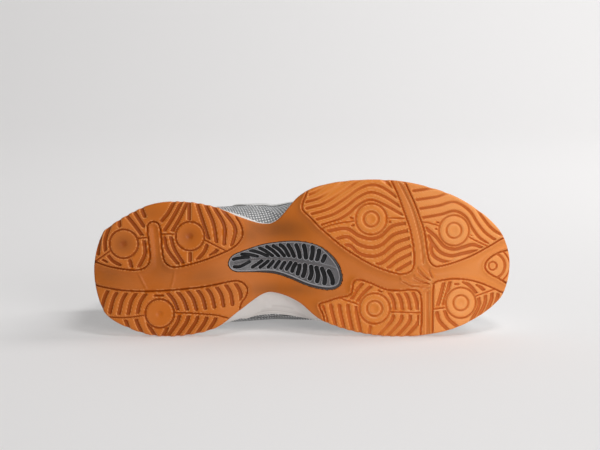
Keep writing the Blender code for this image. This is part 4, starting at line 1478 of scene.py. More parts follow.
MEDIAL_SLOTS = (
    ((99, -0.9), (103.7, -0.9), (111.2, -4.8)), ((111.9, 0), (115.8, -2.5), (119.8, -5.4)),
    ((117.4, 0.2), (120.5, -2.1), (124.4, -5.4)), ((123.3, 0.2), (125.8, -2.5), (128, -5.4)),
    ((128.2, 0.4), (130.1, -2.5), (132.3, -5.4)), ((132.6, 1.1), (134.4, -2.1), (136.2, -4.6)),
    ((136.6, 1.8), (138.4, -1.4), (140.5, -4.6)), ((140.7, 3.2), (141.9, -0.4), (144.1, -3.9)),
    ((144.6, 5.2), (145.9, 0.7), (146.6, -2.9)), ((148.4, 6.8), (150, 1.8), (150.2, -3.2)),
    ((153.2, 8.6), (154.8, 3.6), (154.4, -2.1)), ((158.6, 10.5), (159.4, 5), (158, -1.4)),
    ((163.9, 11.8), (164.1, 5.7), (161.9, -0.7)), ((169.8, 11.8), (169.5, 7.5), (166.6, 1.1)),
)
LEAF_SPINE = (
    (101, -3.8), (105, -5), (112, -6.6), (120, -7), (130, -7), (140, -6.2), (150, -4.8), (160, -3),
    (167, -1.6), (173, 0.6),
)


@dataclass
class Shank:
    """Dark leaf-shaped shank in the outsole's window: a rim with a bead, a spine, ribs and slots."""

    placement: Placement
    rows: int = 330
    columns: int = 104
    rim_height: float = 1.9
    bead_rise: float = 0.3
    bead_half: float = 0.34
    rib_height: float = 2.5
    slot_floor: float = 4.1
    back: float = 4.45
    rim_lateral: float = 1.0
    rim_medial: float = 2.3
    joint: float = 0.45
    spine_half: float = 0.6
    slot_half: float = 1.24
    slot_widening: float = 0.42
    slot_inset: float = 0.7
    slot_soft: float = 0.32
    slot_reach: float = 3.0
    edge_reach: float = 30.0
    joint_drop: float = 0.9
    spine_share: float = 0.8
    spine_reach: float = 4.0
    rim_soft: float = 0.3
    line_soft: float = 0.25
    samples: int = 24
    slot_samples: int = 14

    # Stations over which the slots widen, and where the rim turns broad: across, along, and at the toe end
    WIDENING = (118.0, 156.0)
    BROAD_ACROSS = (-9.0, 1.0)
    BROAD_ALONG = (108.0, 128.0)
    BROAD_TOE = (158.0, 170.0)

    def build(self, finish: Material) -> Thing:
        """Builds the shank.

        Args:
            finish: Its plastic.

        Returns:
            The piece.
        """
        edges = (smooth_path(edge, self.samples) for edge in (LEAF_LATERAL, LEAF_MEDIAL))
        lateral, medial = even_rows(*edges, self.rows)
        plan = filled(lateral, medial, self.columns).reshape(-1, 2)
        edge_away, _ = nearest_on_path(plan, np.concatenate([lateral, medial[::-1]]), self.edge_reach)
        height, values = self._face(plan, edge_away)
        shape = (self.rows, self.columns)
        points = np.column_stack([plan, height + lift(plan[:, 0])]).reshape(*shape, 3)
        shell = Shell(self.placement, ("relief", "rim", "bead"))
        values = {name: value.reshape(shape) for name, value in values.items()}
        shell.add_grid(points, sheet=points[..., :2], **values)
        edge = sheet_edge(points)
        back = edge.copy()
        back[:, 2] = self.back + lift(edge[:, 0])
        shell.add_grid(np.stack([edge, back]), wrap=True, relief=np.ones((2, len(edge))))
        shell.add_grid(filled(*halves(back), 2)[:, ::-1], relief=np.ones((self.rows, 2)))
        return settle(shell.build("shank_leaf", [finish], crease=60), Slot.PLASTIC, "shank")

    def _slots(self, plan: Array) -> Array:
        """Share of the slots' cut: grooves with round ends that widen from the heel end to the toe end."""
        cut = np.zeros(len(plan))
        for slot in (*LATERAL_SLOTS, *MEDIAL_SLOTS):
            line = smooth_path(slot, LINE_STEPS)
            half = self.slot_half + self.slot_widening * ease(*self.WIDENING, line[:, 0].mean())
            along = arc_length(line)
            inset = half * self.slot_inset
            kept = np.linspace(inset, along[-1] - inset, self.slot_samples)
            away, _ = nearest_on_path(plan, along_path(line, along, kept), self.slot_reach)
            cut = np.maximum(cut, groove(away, half, self.slot_soft))
        return cut

    def _face(self, plan: Array, edge: Array) -> tuple[Array, dict[str, Array]]:
        """Height and point values of the leaf's face.

        A rim stands along the edge, broader on the medial side and at the toe end, with a bead on its
        inner side. Ribs lie a step lower, slots are sunk to a floor, and the spine is nearly as high as it.
        The outermost strip drops into the joint with the rubber, which is painted dark as its shadow.

        Args:
            plan: Plan points.
            edge: Their distances to the leaf's edge.

        Returns:
            Heights above the tread, and the shares of sunk face (with the joint, painted as shade), rim and
            bead (painted as a highlight).
        """
        x, y = plan.T
        side = ease(*self.BROAD_ACROSS, y) * ease(*self.BROAD_ALONG, x)
        broad = np.maximum(side, ease(*self.BROAD_TOE, x))
        rim = self.rim_lateral + (self.rim_medial - self.rim_lateral) * broad
        height = self.rib_height + (self.slot_floor - self.rib_height) * self._slots(plan)
        away, _ = nearest_on_path(plan, smooth_path(LEAF_SPINE, BORDER_STEPS), self.spine_reach)
        step = (self.rib_height - self.rim_height) * self.spine_share
        height -= step * groove(away, self.spine_half, 2 * self.line_soft)
        on_rim = 1 - ease(-self.rim_soft, self.rim_soft, edge - rim)
        height = height * (1 - on_rim) + self.rim_height * on_rim
        # The bead is also painted bright as a highlight
        bead = groove(np.abs(edge - rim), self.bead_half, self.line_soft)
        height -= self.bead_rise * bead
        # The joint is also painted dark as its shadow
        joint = groove(edge, self.joint, self.line_soft)
        height += self.joint_drop * joint
        relief = np.clip((height - self.rim_height) / (self.slot_floor - self.rim_height), 0, 1)
        return height, {"relief": np.maximum(relief, joint), "rim": on_rim, "bead": bead * (1 - joint)}


@dataclass
class Midsole:
    """White foam midsole: a wall from the outsole's edge to the rim under the upper, with pressed lines."""

    placement: Placement
    per_span: int = 14
    steps: int = 9
    setback: float = 1.0
    bottom: float = 5.3
    line_depth: float = 0.45
    shade: float = 0.6
    tall: float = 20.0
    facet_fade: float = 0.1

    # Share of the height, share of the way from edge to rim in plan, and how far the wall stands out
    WALL = ((0.0, 0.0, 0.0), (0.28, 0.18, 0.4), (0.62, 0.58, 0.8), (0.88, 0.92, 0.6), (1.0, 1.0, 0.0))
    LINES = (0.80, 0.87)
    LINE_SHAPE = (0.012, 0.014)

    # Facet edges and creases of the medial waist: station and share of both ends, rise and half width
    FACETS = (
        ((122.0, 0.0), (108.0, 0.95), 1.1, 3.2), ((113.0, 0.1), (101.0, 0.8), 0.6, 2.2),
        ((127.0, 0.66), (141.0, 0.62), -0.45, 0.8), ((119.0, 0.76), (150.0, 0.74), -0.4, 0.9),
    )

    def build(self, finish: Material) -> Thing:
        """Builds the midsole.

        The wall is a smooth curve through five rings at each place around the shoe. Two thin lines are
        pressed into it below the rim.

        Args:
            finish: Its foam.

        Returns:
            The piece.
        """
        low = SoleOutline().loop(self.per_span)
        low = low - outward(low) * self.setback
        base = np.column_stack([low, self.bottom + lift(low[:, 0])])
        rim = smooth_path(around(RIM_HEEL, RIM_SECTIONS, RIM_TOE), self.per_span, closed=True)
        out = outward(rim)
        rings = []
        for height, across, proud in self.WALL:
            ring = base * (1 - across) + rim * across + out * proud
            ring[:, 2] = base[:, 2] * (1 - height) + rim[:, 2] * height
            rings.append(ring)
        profile = smooth_path(np.stack(rings).reshape(len(rings), -1), self.steps)
        wall = profile.reshape(len(profile), -1, 3)
        share = (wall[..., 2] - base[:, 2]) / (rim[:, 2] - base[:, 2])
        lines = np.max([groove(np.abs(share - line), *self.LINE_SHAPE) for line in self.LINES], 0)
        facets = self._facets(wall, share)
        wall = wall + out * (facets - self.line_depth * lines)[..., None]
        shell = Shell(self.placement, ("relief",))
        # The relief value paints shade into the pressed lines and creases
        shell.add_grid(wall, wrap=True, relief=np.clip(self.shade * (lines - facets), 0, 1))
        for ring, turn in ((wall[0], 1), (wall[-1], -1)):
            self._lid(shell, ring, turn)
        return settle(shell.build("midsole_wall", [finish], crease=50), Slot.FOAM, "midsole")

    def _facets(self, wall: Array, share: Array) -> Array:
        """Rise of the medial waist's facet edges and creases: bell curves around lines on the wall."""
        flat = np.stack([wall[..., 0], share * self.tall], -1).reshape(-1, 2)
        rise = sum(height * line_bell(flat, ends, self.tall, half) for *ends, height, half in self.FACETS)
        fade = self.facet_fade
        kept = (wall[..., 1] > 0) * ease(0.0, fade, share) * (1 - ease(1.0 - fade, 1.0, share))
        return rise.reshape(share.shape) * kept

    def _lid(self, shell: Shell, ring: Array, turn: int) -> None:
        """Closes a ring with rows from its lateral to its medial side."""
        shell.add_grid(filled(*halves(ring), 3)[:, ::turn])


@dataclass
class Last:
    """The upper's outer face as a function of the column around the shoe and the share of the profile."""

    per_span: int = 8
    gap: float = 0.3
    swell_reach: float = 1.9
    straightened: float = 0.85
    columns_per_span: int = 2
    probe: float = 0.02

    # Stations between which the waist begins and ends
    WAIST = ((70.0, 100.0), (163.0, 200.0))

    def __post_init__(self) -> None:
        """Works out the profile's four Bezier points at each column."""
        lateral = [(r[0], -r[1], r[3], r[5], r[6], -r[7], r[9], *r[10:]) for r in UPPER_SECTIONS]
        medial = [(r[0], r[2], r[4], r[5], r[6], r[8], r[9], *r[10:]) for r in reversed(UPPER_SECTIONS)]
        rows = np.array([UPPER_HEEL, *lateral, UPPER_TOE, *medial], float)
        out = outward(rows[:, :3])
        begins, ends = self.WAIST
        waist = ease(*begins, rows[:, 0]) * (1 - ease(*ends, rows[:, 0]))
        out[:, 0] *= 1 - self.straightened * waist
        lateral_rim = np.array([RIM_HEEL, *(np.delete(r, 2) for r in RIM_SECTIONS), RIM_TOE])
        height = np.interp(rows[:, 0], lateral_rim[:, 0], lateral_rim[:, 2])
        foot = np.column_stack([rows[:, :2], height + self.gap])
        swell = foot + out * rows[:, 2:3] * self.swell_reach + UP * rows[:, 3:4]
        rim = rows[:, 4:7]
        lead = rim + out * rows[:, 8:9] + np.column_stack([rows[:, 7], np.zeros(len(rows)), rows[:, 9]])
        self.control = smooth_path(np.concatenate([foot, swell, lead, rim], 1), self.per_span, closed=True)
        self.count = self.columns_per_span * len(rows)

    def point(self, columns: Array, shares: Array) -> Array:
        """Places on the outer face: a cubic Bezier in the share, carried around in the column.

        Args:
            columns: Columns, 0 at the heel's back and half the count at the toe, lateral side first.
            shares: Shares of the profile from the foot to the rim, of the same shape.

        Returns:
            Points in the shoe's millimetres.
        """
        at = np.asarray(columns, float) * self.per_span / self.columns_per_span
        low = np.floor(at).astype(int)
        part = (at - low)[..., None]
        total = len(self.control)
        row = self.control[low % total] * (1 - part) + self.control[(low + 1) % total] * part
        foot, swell, lead, rim = (row[..., k : k + 3] for k in (0, 3, 6, 9))
        s = np.asarray(shares, float)[..., None]
        return foot * (1 - s) ** 3 + 3 * swell * s * (1 - s) ** 2 + 3 * lead * s**2 * (1 - s) + rim * s**3

    def normal(self, columns: Array, shares: Array) -> Array:
        """Unit normals of the outer face, by differences along the column and the share."""
        across = self.point(np.asarray(columns) + 0.5, shares) - self.point(np.asarray(columns) - 0.5, shares)
        low, high = (np.clip(np.asarray(shares) + step, 0, 1) for step in (-self.probe, self.probe))
        return unit(np.cross(across, self.point(columns, high) - self.point(columns, low)))

    def raised(self, columns: Array, shares: Array, height: Array) -> Array:
        """Places at a height above the outer face."""
        return self.point(columns, shares) + self.normal(columns, shares) * np.asarray(height)[..., None]

    def sheet(self, points: Array) -> Array:
        """Flat place of grid points in millimetres: mean lengths along the rows and along the columns."""
        along = running(steps_between(points, 1).mean(0))
        up = running(steps_between(points).mean(1))
        return np.stack(np.meshgrid(along, up), -1)


@dataclass
class Upper:
    """Mesh upper: an outer skin and a lining with a padded collar, joined by a rounded rim."""

    placement: Placement
    last: Last
    columns: int = 340
    rows: int = 60
    wall: float = 2.2
    pad: float = 2.6
    profile: float = 80.0
    lip_steps: int = 9

    # Folds at the waist: side, station and share of the profile at both ends, depth and half width
    FOLDS = (
        (1, (98.0, 0.12), (119.0, 0.045), 1.2, 1.7), (1, (110.0, 0.13), (124.0, 0.19), 1.3, 1.6),
        (1, (122.0, 0.19), (144.0, 0.06), 1.3, 1.7), (1, (128.0, 0.25), (152.0, 0.14), 1.0, 2.2),
        (1, (102.0, 0.23), (122.0, 0.28), 1.0, 2.4), (1, (112.0, 0.07), (134.0, 0.10), -0.7, 1.4),
        (-1, (108.0, 0.30), (132.0, 0.09), -0.8, 1.0), (-1, (96.0, 0.27), (112.0, 0.10), -0.5, 0.9),
    )

    # Vamp creases: station on the middle line, how far they sweep back at the sides, depth and half width
    CREASES = (
        (206.0, 0.20, 0.9, 4.0), (216.0, 0.26, 1.1, 4.5), (227.0, 0.32, 0.8, 5.0), (236.0, 0.34, 0.5, 4.0),
    )
    CREASE_MIDDLE = -5.0

    # Shares of the profile over which creases set in and end, and folds set in
    CREASE_START = (0.25, 0.55)
    CREASE_END = (1.0, 0.9)
    FOLD_START = (0.0, 0.03)

    # Collar's padding: where it fades round the shoe and where it sets in up the profile
    COLLAR_FADE = (0.34, 0.46)
    COLLAR_RISE = (0.62, 0.82)

    def thickness(self, columns: Array, shares: Array) -> Array:
        """Wall with the collar's padding, which sits round the heel and ankle near the rim."""
        from_heel = np.minimum(columns, self.last.count - columns) / (self.last.count / 2)
        padding = (1 - ease(*self.COLLAR_FADE, from_heel)) * ease(*self.COLLAR_RISE, shares)
        return self.wall + self.pad * padding

    def creased(self, points: Array, normals: Array, shares: Array) -> tuple[Array, Array]:
        """Outer face with its creases: soft troughs across the vamp and bell-shaped folds at the waist.

        Args:
            points: Smooth outer face.
            normals: Its normals.
            shares: Shares of the profile.

        Returns:
            The creased face, and the share of painted shade in the folds.
        """
        depth = np.zeros(points.shape[:2])
        darkening = np.zeros_like(depth)
        for station, sweep, deep, half in self.CREASES:
            line = points[..., 0] - station + sweep * np.abs(points[..., 1] - self.CREASE_MIDDLE)
            trough = deep * np.exp(-((line / half) ** 2))
            depth += trough * ease(*self.CREASE_START, shares) * ease(*self.CREASE_END, shares)
        flat = np.stack([points[..., 0], shares * self.profile], -1).reshape(-1, 2)
        for side, *ends, deep, half in self.FOLDS:
            fold = deep * line_bell(flat, ends, self.profile, half).reshape(depth.shape)
            fold *= (points[..., 1] * side > 0) * ease(*self.FOLD_START, shares)
            depth += fold
            # Folds are also painted darker as shade
            darkening = np.maximum(darkening, fold)
        return points - normals * depth[..., None], np.clip(darkening, 0, 1)

    def build(self, knit: Material, lining: Material) -> Thing:
        """Builds the upper.

        Args:
            knit: Outer mesh.
            lining: Cloth inside.

        Returns:
            The piece.
        """
        columns = np.arange(self.columns) * self.last.count / self.columns
        shares = np.linspace(0, 1, self.rows)
        columns, shares = np.meshgrid(columns, shares)
        normals = self.last.normal(columns, shares)
        outer, darkening = self.creased(self.last.point(columns, shares), normals, shares)
        inner = outer - normals * self.thickness(columns, shares)[..., None]
        middle, half = (outer[-1] + inner[-1]) / 2, (outer[-1] - inner[-1]) / 2
        below = self.last.point(columns[-1], shares[-1] - self.last.probe)
        rise = unit(self.last.point(columns[-1], shares[-1]) - below)
        turn = np.linspace(0, pi, self.lip_steps)[:, None, None]
        bulge = np.linalg.norm(half, axis=1, keepdims=True) * rise
        lip = middle + half * np.cos(turn) + bulge * np.sin(turn)
        shell = Shell(self.placement, ("relief",))
        sheet, lip_sheet = (self.last.sheet(np.concatenate([k, k[:, :1]], 1)) for k in (outer, lip))
        shell.add_grid(outer, wrap=True, sheet=sheet, relief=darkening)
        shell.add_grid(lip, wrap=True, sheet=lip_sheet, finish=1)
        shell.add_grid(inner[::-1], wrap=True, sheet=sheet[::-1], finish=1)
        shell.add_grid(np.stack([inner[0], outer[0]]), wrap=True, finish=1)
        return settle(shell.build("upper_shell", [knit, lining]), Slot.MESH, "upper")


@dataclass(frozen=True)
class Patch:
    """An overlay cut from the upper's face: its columns and the shares of its lower and upper edge."""

    name: str
    columns: tuple[float, float]
    low: tuple[float, float, float]
    high: tuple[float, float, float]
    corner: float = 0.0
    sweep: float = 1.0

    def edge(self, columns: Array, shares: tuple[float, float, float]) -> Array:
        """Share of an edge: from its ends to its middle along half a sine wave to the sweep's power."""
        first, last = self.columns
        turn = pi * (columns - first) / (last - first)
        lateral = turn < pi / 2
        end = np.where(lateral, shares[0], shares[2])
        rise = np.clip(np.sin(turn), 0, 1) ** np.where(lateral, self.sweep, 1.0)
        return end + (shares[1] - end) * rise

    def limits(self, columns: Array) -> tuple[Array, Array]:
        """Lower and upper share at columns, drawn together over the corner's reach as a quarter ellipse."""
        low, high = self.edge(columns, self.low), self.edge(columns, self.high)
        if not self.corner:
            return low, high
        inset = np.minimum(columns - self.columns[0], self.columns[1] - columns) / self.corner
        open_share = np.sqrt(np.clip(1 - np.clip(1 - inset, 0, 1) ** 2, 0.0004, 1))
        middle = (low + high) / 2
        return middle + (low - middle) * open_share, middle + (high - middle) * open_share


TOE_CAP = Patch("toe_cap", (25, 47), (0.02, 0.02, 0.02), (0.10, 0.40, 0.10))
HEEL_COUNTER = Patch("heel_counter", (-9, 9), (0.02, 0.02, 0.02), (0.20, 0.62, 0.20))
EYESTAY = Patch("eyestay", (11, 57), (0.27, 0.86, 0.68), (0.97, 0.97, 0.97), 2.2, 2.6)
EYELET_COLUMNS = (26.2, 24.4, 22.7, 21.0, 19.4, 17.7)
EYELET_SHARE = 0.94


@dataclass
class Overlay:
    """White leather overlay on the upper: a skin with rounded cut edges, pressed down along its seam."""

    placement: Placement
    last: Last
    patch: Patch
    gap: float = 0.35
    thick: float = 1.0
    columns: int = 300
    rows: int = 40
    seam: float = 2.0
    pressed: float = 0.35
    edge_round: float = 0.8
    edge_drop: float = 0.75
    hole: float = 1.6
    hole_soft: float = 0.4
    hole_depth: float = 0.8
    edge_tint: float = 0.8
    seam_tint: float = 0.25

    def build(self, leather: Material) -> Thing:
        """Builds the overlay.

        The top face follows the upper at the gap and thickness, eased down over its cut edge and pressed in
        along a seam line parallel to the edge; eyelets are punched as round pits.

        Args:
            leather: Its finish.

        Returns:
            The piece.
        """
        columns = np.linspace(*self.patch.columns, self.columns)
        low, high = self.patch.limits(columns)
        share = np.linspace(0, 1, self.rows)[:, None]
        shares = low * (1 - share) + high * share
        grid = np.broadcast_to(columns, shares.shape)
        base = self.last.point(grid, shares)
        away = self._edge_distance(base)
        round_off = 1 - np.sqrt(1 - np.clip(1 - away / self.edge_round, 0, 1) ** 2)
        pressed = self.pressed * groove(np.abs(away - self.seam), self.pressed, self.pressed)
        pits = self._pits(base)
        top = self.gap + self.thick * (1 - self.edge_drop * round_off - self.hole_depth * pits) - pressed
        relief = np.clip(self.edge_tint * round_off + pits + self.seam_tint * pressed, 0, 1)
        normals = self.last.normal(grid, shares)
        upper = base + normals * top[..., None]
        under = base + normals * self.gap
        shell = Shell(self.placement, ("relief",))
        sheet = self.last.sheet(upper)
        shell.add_grid(upper, sheet=sheet, relief=relief)
        shell.add_grid(under[::-1], sheet=sheet[::-1], relief=np.ones_like(relief))
        both = np.stack([under, upper])
        for edge in (both[:, 0], both[:, -1, ::-1], both[:, ::-1, 0], both[:, :, -1]):
            shell.add_grid(edge, relief=np.ones(edge.shape[:2]))
        return settle(shell.build(f"{self.patch.name}_overlay", [leather], 55), Slot.OVERLAY, self.patch.name)

    def _edge_distance(self, base: Array) -> Array:
        """Distance of each grid point to the patch's edge, along its row and its column."""
        rise, run = (running(steps_between(base, axis), axis) for axis in (0, 1))
        return np.minimum.reduce([rise, rise[-1] - rise, run, run[:, -1:] - run])

    def _pits(self, base: Array) -> Array:
        """Punched eyelets of the eyestay, as 1 inside each hole."""
        pits = np.zeros(base.shape[:2])
        if self.patch is EYESTAY:
            for column in (*EYELET_COLUMNS, *(self.last.count - c for c in EYELET_COLUMNS)):
                centre = self.last.point(np.array(column), np.array(EYELET_SHARE))
                away = np.linalg.norm(base - centre, axis=2)
                pits = np.maximum(pits, groove(away, self.hole, self.hole_soft))
        return pits


@dataclass
class Stitching:
    """Rows of stitches along the overlays' seams, each a short oval thread sunk at both ends."""

    placement: Placement
    last: Last
    length: float = 2.7
    pitch: float = 3.5
    thick: float = 0.6
    inset: float = 2.0
    height: float = 0.95
    rise: float = 0.25
    flatness: float = 0.8
    least_girth: float = 0.02
    corner_share: float = 0.6
    least_margin: float = 0.35
    samples: int = 900
    rings: int = 6
    around: int = 6

    def build(self, thread: Material, patches: Sequence[Patch]) -> Thing:
        """Builds all stitches as one piece.

        Args:
            thread: Finish of the thread.
            patches: Overlays that are sewn along their lower and upper edges.

        Returns:
            The piece.
        """
        shell = Shell(self.placement)
        for patch in patches:
            for lower in (True, False):
                self._row(shell, patch, lower)
        return settle(shell.build("overlay_stitches", [thread]), Slot.LACE)

    def _row(self, shell: Shell, patch: Patch, lower: bool) -> None:
        """Adds the stitches of one edge.

        The seam lies a fixed length in from the edge. Each stitch is an oval tube along the seam that sinks
        towards its ends as a half sine wave.

        Args:
            shell: Mesh to add them to.
            patch: The overlay.
            lower: Whether the seam follows its lower edge.
        """
        first, last = patch.columns
        margin = max(self.corner_share * patch.corner, self.least_margin)
        columns = np.linspace(first + margin, last - margin, self.samples)
        low, high = patch.limits(columns)
        tall = np.linalg.norm(self.last.point(columns, high) - self.last.point(columns, low), axis=1)
        share = np.clip(self.inset / tall, 0, 0.5)
        share = share if lower else 1 - share
        shares = low * (1 - share) + high * share
        seam = self.last.point(columns, shares)
        along = arc_length(seam)
        count = int(along[-1] / self.pitch)
        ring = np.linspace(-0.5, 0.5, self.rings)
        at = (np.arange(count)[:, None] + 0.5) * self.pitch + ring[None, :] * self.length
        line_columns, line_shares = np.interp(at, along, columns), np.interp(at, along, shares)
        raised = np.broadcast_to(self.height + self.rise * np.cos(ring * pi), at.shape)
        path = self.last.raised(line_columns, line_shares, raised)
        normal = self.last.normal(line_columns, line_shares)
        side = unit(np.cross(np.gradient(path, axis=1), normal))
        turn = np.linspace(0, 2 * pi, self.around, endpoint=False)
        girth = self.thick / 2 * np.sqrt(np.clip(1 - (ring * 2) ** 4, self.least_girth, 1))
        across, up = girth[:, None] * np.cos(turn), girth[:, None] * np.sin(turn) * self.flatness
        for stitch in tube(path, side, normal, across, up):
            shell.add_grid(stitch, wrap=True)


@dataclass
class Insole:
    """Cloth-covered foam insole with a cupped edge."""

    placement: Placement
    last: Last
    columns: int = 272
    rows: int = 26
    bottom_gap: float = 0.6
    thick: float = 4.0
    inset: float = 3.4
    cup: float = 2.2
    cup_from: float = 0.8
    bulge: float = 0.6

    def build(self, cloth: Material) -> Thing:
        """Builds the insole.

        The top is a sheet from the middle line to the edge that curls up over its last fifth; the underside
        is flat, and both meet in a rounded edge.

        Args:
            cloth: Its cover.

        Returns:
            The piece.
        """
        columns = np.arange(self.columns) * self.last.count / self.columns
        foot = self.last.point(columns, np.zeros(self.columns))
        out = outward(foot)
        edge = foot - out * self.inset
        mirrored = edge[(-np.arange(self.columns)) % self.columns]
        middle = (edge + mirrored) / 2
        share = np.linspace(0, 1, self.rows)[:, None, None]
        under = middle * (1 - share) + edge * share + UP * self.bottom_gap
        top = under + UP * (self.thick + self.cup * ease(self.cup_from, 1.0, share))
        rim = (top[-1] + under[-1]) / 2 + out * self.bulge
        shell = Shell(self.placement, ("relief",))
        flat = np.concatenate([top, top[:, :1]], 1)[..., :2]
        shell.add_grid(top, wrap=True, sheet=flat)
        shell.add_grid(np.stack([top[-1], rim, under[-1]]), wrap=True)
        shell.add_grid(under[::-1], wrap=True, sheet=flat[::-1])
        return settle(shell.build("insole_sock", [cloth]), Slot.INSOLE, "insole")


@dataclass
class Tongue:
    """Padded tongue: a crowned strip that is fullest in the middle and bound along its edge."""

    placement: Placement
    thick: float = 5.0
    crown: float = 7.6
    end_round: float = 4.0
    corner: float = 13.0
    flat_end: float = 0.5
    across: int = 44
    samples: int = 14

    # Station, middle, top height and half width, from the vamp to the tongue's free end
    SECTIONS = (
        (203, -5.4, 60.0, 16), (188, -4.6, 66.2, 18.5), (172, -3.6, 74.2, 22), (156, -2.8, 81.2, 24),
        (140, -2.0, 88.2, 25), (126, -1.4, 94.6, 24), (115, -1.0, 103.4, 23), (107, -0.8, 112, 26),
        (102, -0.6, 121, 25),
    )

    def build(self, mesh: Material, binding: Material) -> Thing:
        """Builds the tongue.

        A middle line runs through the sections. Each cross-section drops from it by the crown times the
        square of the place across, and its thickness swells as the root of one less that place's fourth
        power. Both ends are drawn in over the corner as a quarter circle.

        Args:
            mesh: Cover.
            binding: Edge binding.

        Returns:
            The piece.
        """
        line = smooth_path(self.SECTIONS, self.samples)
        spine, half = line[:, [0, 1, 2]], line[:, 3]
        side = np.array((0.0, 1.0, 0.0))
        normal = np.cross(side, unit(np.gradient(spine, axis=0)))
        normal *= np.sign(normal[:, 2:3])
        lengths = arc_length(spine)
        left = np.minimum(lengths, lengths[-1] - lengths)
        end_round, corner = (
            np.sqrt(1 - np.clip(1 - left / reach, 0, 1) ** 2) for reach in (self.end_round, self.corner)
        )
        place = np.sin(np.linspace(-pi / 2, pi / 2, self.across))
        width = (half * (self.flat_end + (1 - self.flat_end) * corner))[:, None] * place[None, :]
        drop = self.crown * (width / half.mean()) ** 2
        swell = self.thick * np.sqrt(np.clip(1 - place**4, 0, 1))[None, :] * end_round[:, None]
        depth = drop + self.thick / 2
        top, under = (
            spine[:, None] + side * width[..., None] - normal[:, None] * (depth + part)[..., None]
            for part in (-swell / 2, swell / 2)
        )
        sheet = np.stack(np.broadcast_arrays(width, lengths[:, None]), -1)
        shell = Shell(self.placement, ("relief",))
        shell.add_grid(top, sheet=sheet)
        shell.add_grid(under[:, ::-1], sheet=sheet[:, ::-1], finish=1)
        made = settle(shell.build("tongue_pad", [mesh, binding]), Slot.TONGUE, "tongue")
        return made


@dataclass
class Laces:
    """Flat woven laces: a bar over the front eyelets and crossings that end at the top pair."""

    placement: Placement
    last: Last
    width: float = 6.4
    thick: float = 1.5
    rest: float = 1.9
    arch: float = 3.2
    turn: float = 0.12
    dive: float = -0.6
    step_in: float = 0.012
    gathered: float = 0.45
    gather_steps: float = 8.0
    gather_from: float = 0.1
    passing: float = 1.1
    squareness: tuple[float, float] = (0.6, 0.8)
    around: int = 18
    samples: int = 12
    steps: int = 60

    def build(self, weave: Material) -> Thing:
        """Builds the laces.

        Each stretch is a flat oval carried along a smooth path from eyelet to eyelet, narrower where it dives
        into the holes; one of each crossing pair passes over the other.

        Args:
            weave: Their cloth.

        Returns:
            The piece.
        """
        shell = Shell(self.placement, ("relief",))
        self._stretch(shell, 0, 0, 1, 0.0)
        for row in range(len(EYELET_COLUMNS) - 1):
            self._stretch(shell, row, row + 1, 1, 0.0)
            self._stretch(shell, row, row + 1, -1, self.thick * self.passing)
        return settle(shell.build("laces_flat", [weave]), Slot.LACE, "laces")

    def _seat(self, column: float, share: float, height: float) -> tuple[Array, Array]:
        """Place and normal above the upper at a column and share."""
        at, up = np.array(column), np.array(share)
        return self.last.raised(at, up, np.array(height)), self.last.normal(at, up)

    def _stretch(self, shell: Shell, first: int, second: int, side: int, over: float) -> None:
        """Adds one stretch from an eyelet of a row to the other side's eyelet of a row.

        Args:
            shell: Mesh to add it to.
            first: Row it starts from.
            second: Row it ends at.
            side: 1 from the lateral side, -1 from the medial side.
            over: How much higher it passes in the middle.
        """
        count = self.last.count
        columns = [EYELET_COLUMNS[first], count - EYELET_COLUMNS[second]]
        if side < 0:
            columns = [count - EYELET_COLUMNS[first], EYELET_COLUMNS[second]]
        sides = [
            (
                self._seat(outer, EYELET_SHARE, self.dive),
                self._seat(outer, EYELET_SHARE + self.step_in, self.rest),
                self._seat(inner, 1.0, self.rest),
            )
            for outer, inner in ((c, c + (count / 2 - c) * self.turn) for c in columns)
        ]
        places, normals = zip(*sides[0], *reversed(sides[1]))
        bridge = (places[2] + places[3]) / 2 + UP * (self.arch + over)
        line = (*places[:3], bridge, *places[3:])
        up = (*normals[:3], UP, *normals[3:])
        path, facing = (resample(smooth_path(k, self.samples), self.steps) for k in (line, up))
        along = unit(np.gradient(path, axis=0))
        wide = unit(np.cross(along, facing))
        facing = np.cross(wide, along)
        ends = np.minimum(np.arange(self.steps), np.arange(self.steps)[::-1]) / self.gather_steps
        gather = self.gathered + (1 - self.gathered) * ease(self.gather_from, 1.0, ends)
        turn = np.linspace(0, 2 * pi, self.around, endpoint=False)
        oval = ((np.cos(turn), self.squareness[0]), (np.sin(turn), self.squareness[1]))
        flat, tall = (np.sign(k) * np.abs(k) ** power / 2 for k, power in oval)
        ring = tube(path, wide, facing, gather[:, None] * flat * self.width, tall * self.thick)
        lengths = arc_length(path)
        across = np.linspace(0, 2 * self.width, self.around + 1)
        shell.add_grid(ring, wrap=True, sheet=np.stack(np.meshgrid(across, lengths), -1))
        for end, inward in ((ring[0], 1), (ring[-1], -1)):
            cap = np.stack([end, np.broadcast_to(end.mean(0), end.shape)])
            shell.add_grid(cap[::inward], wrap=True)


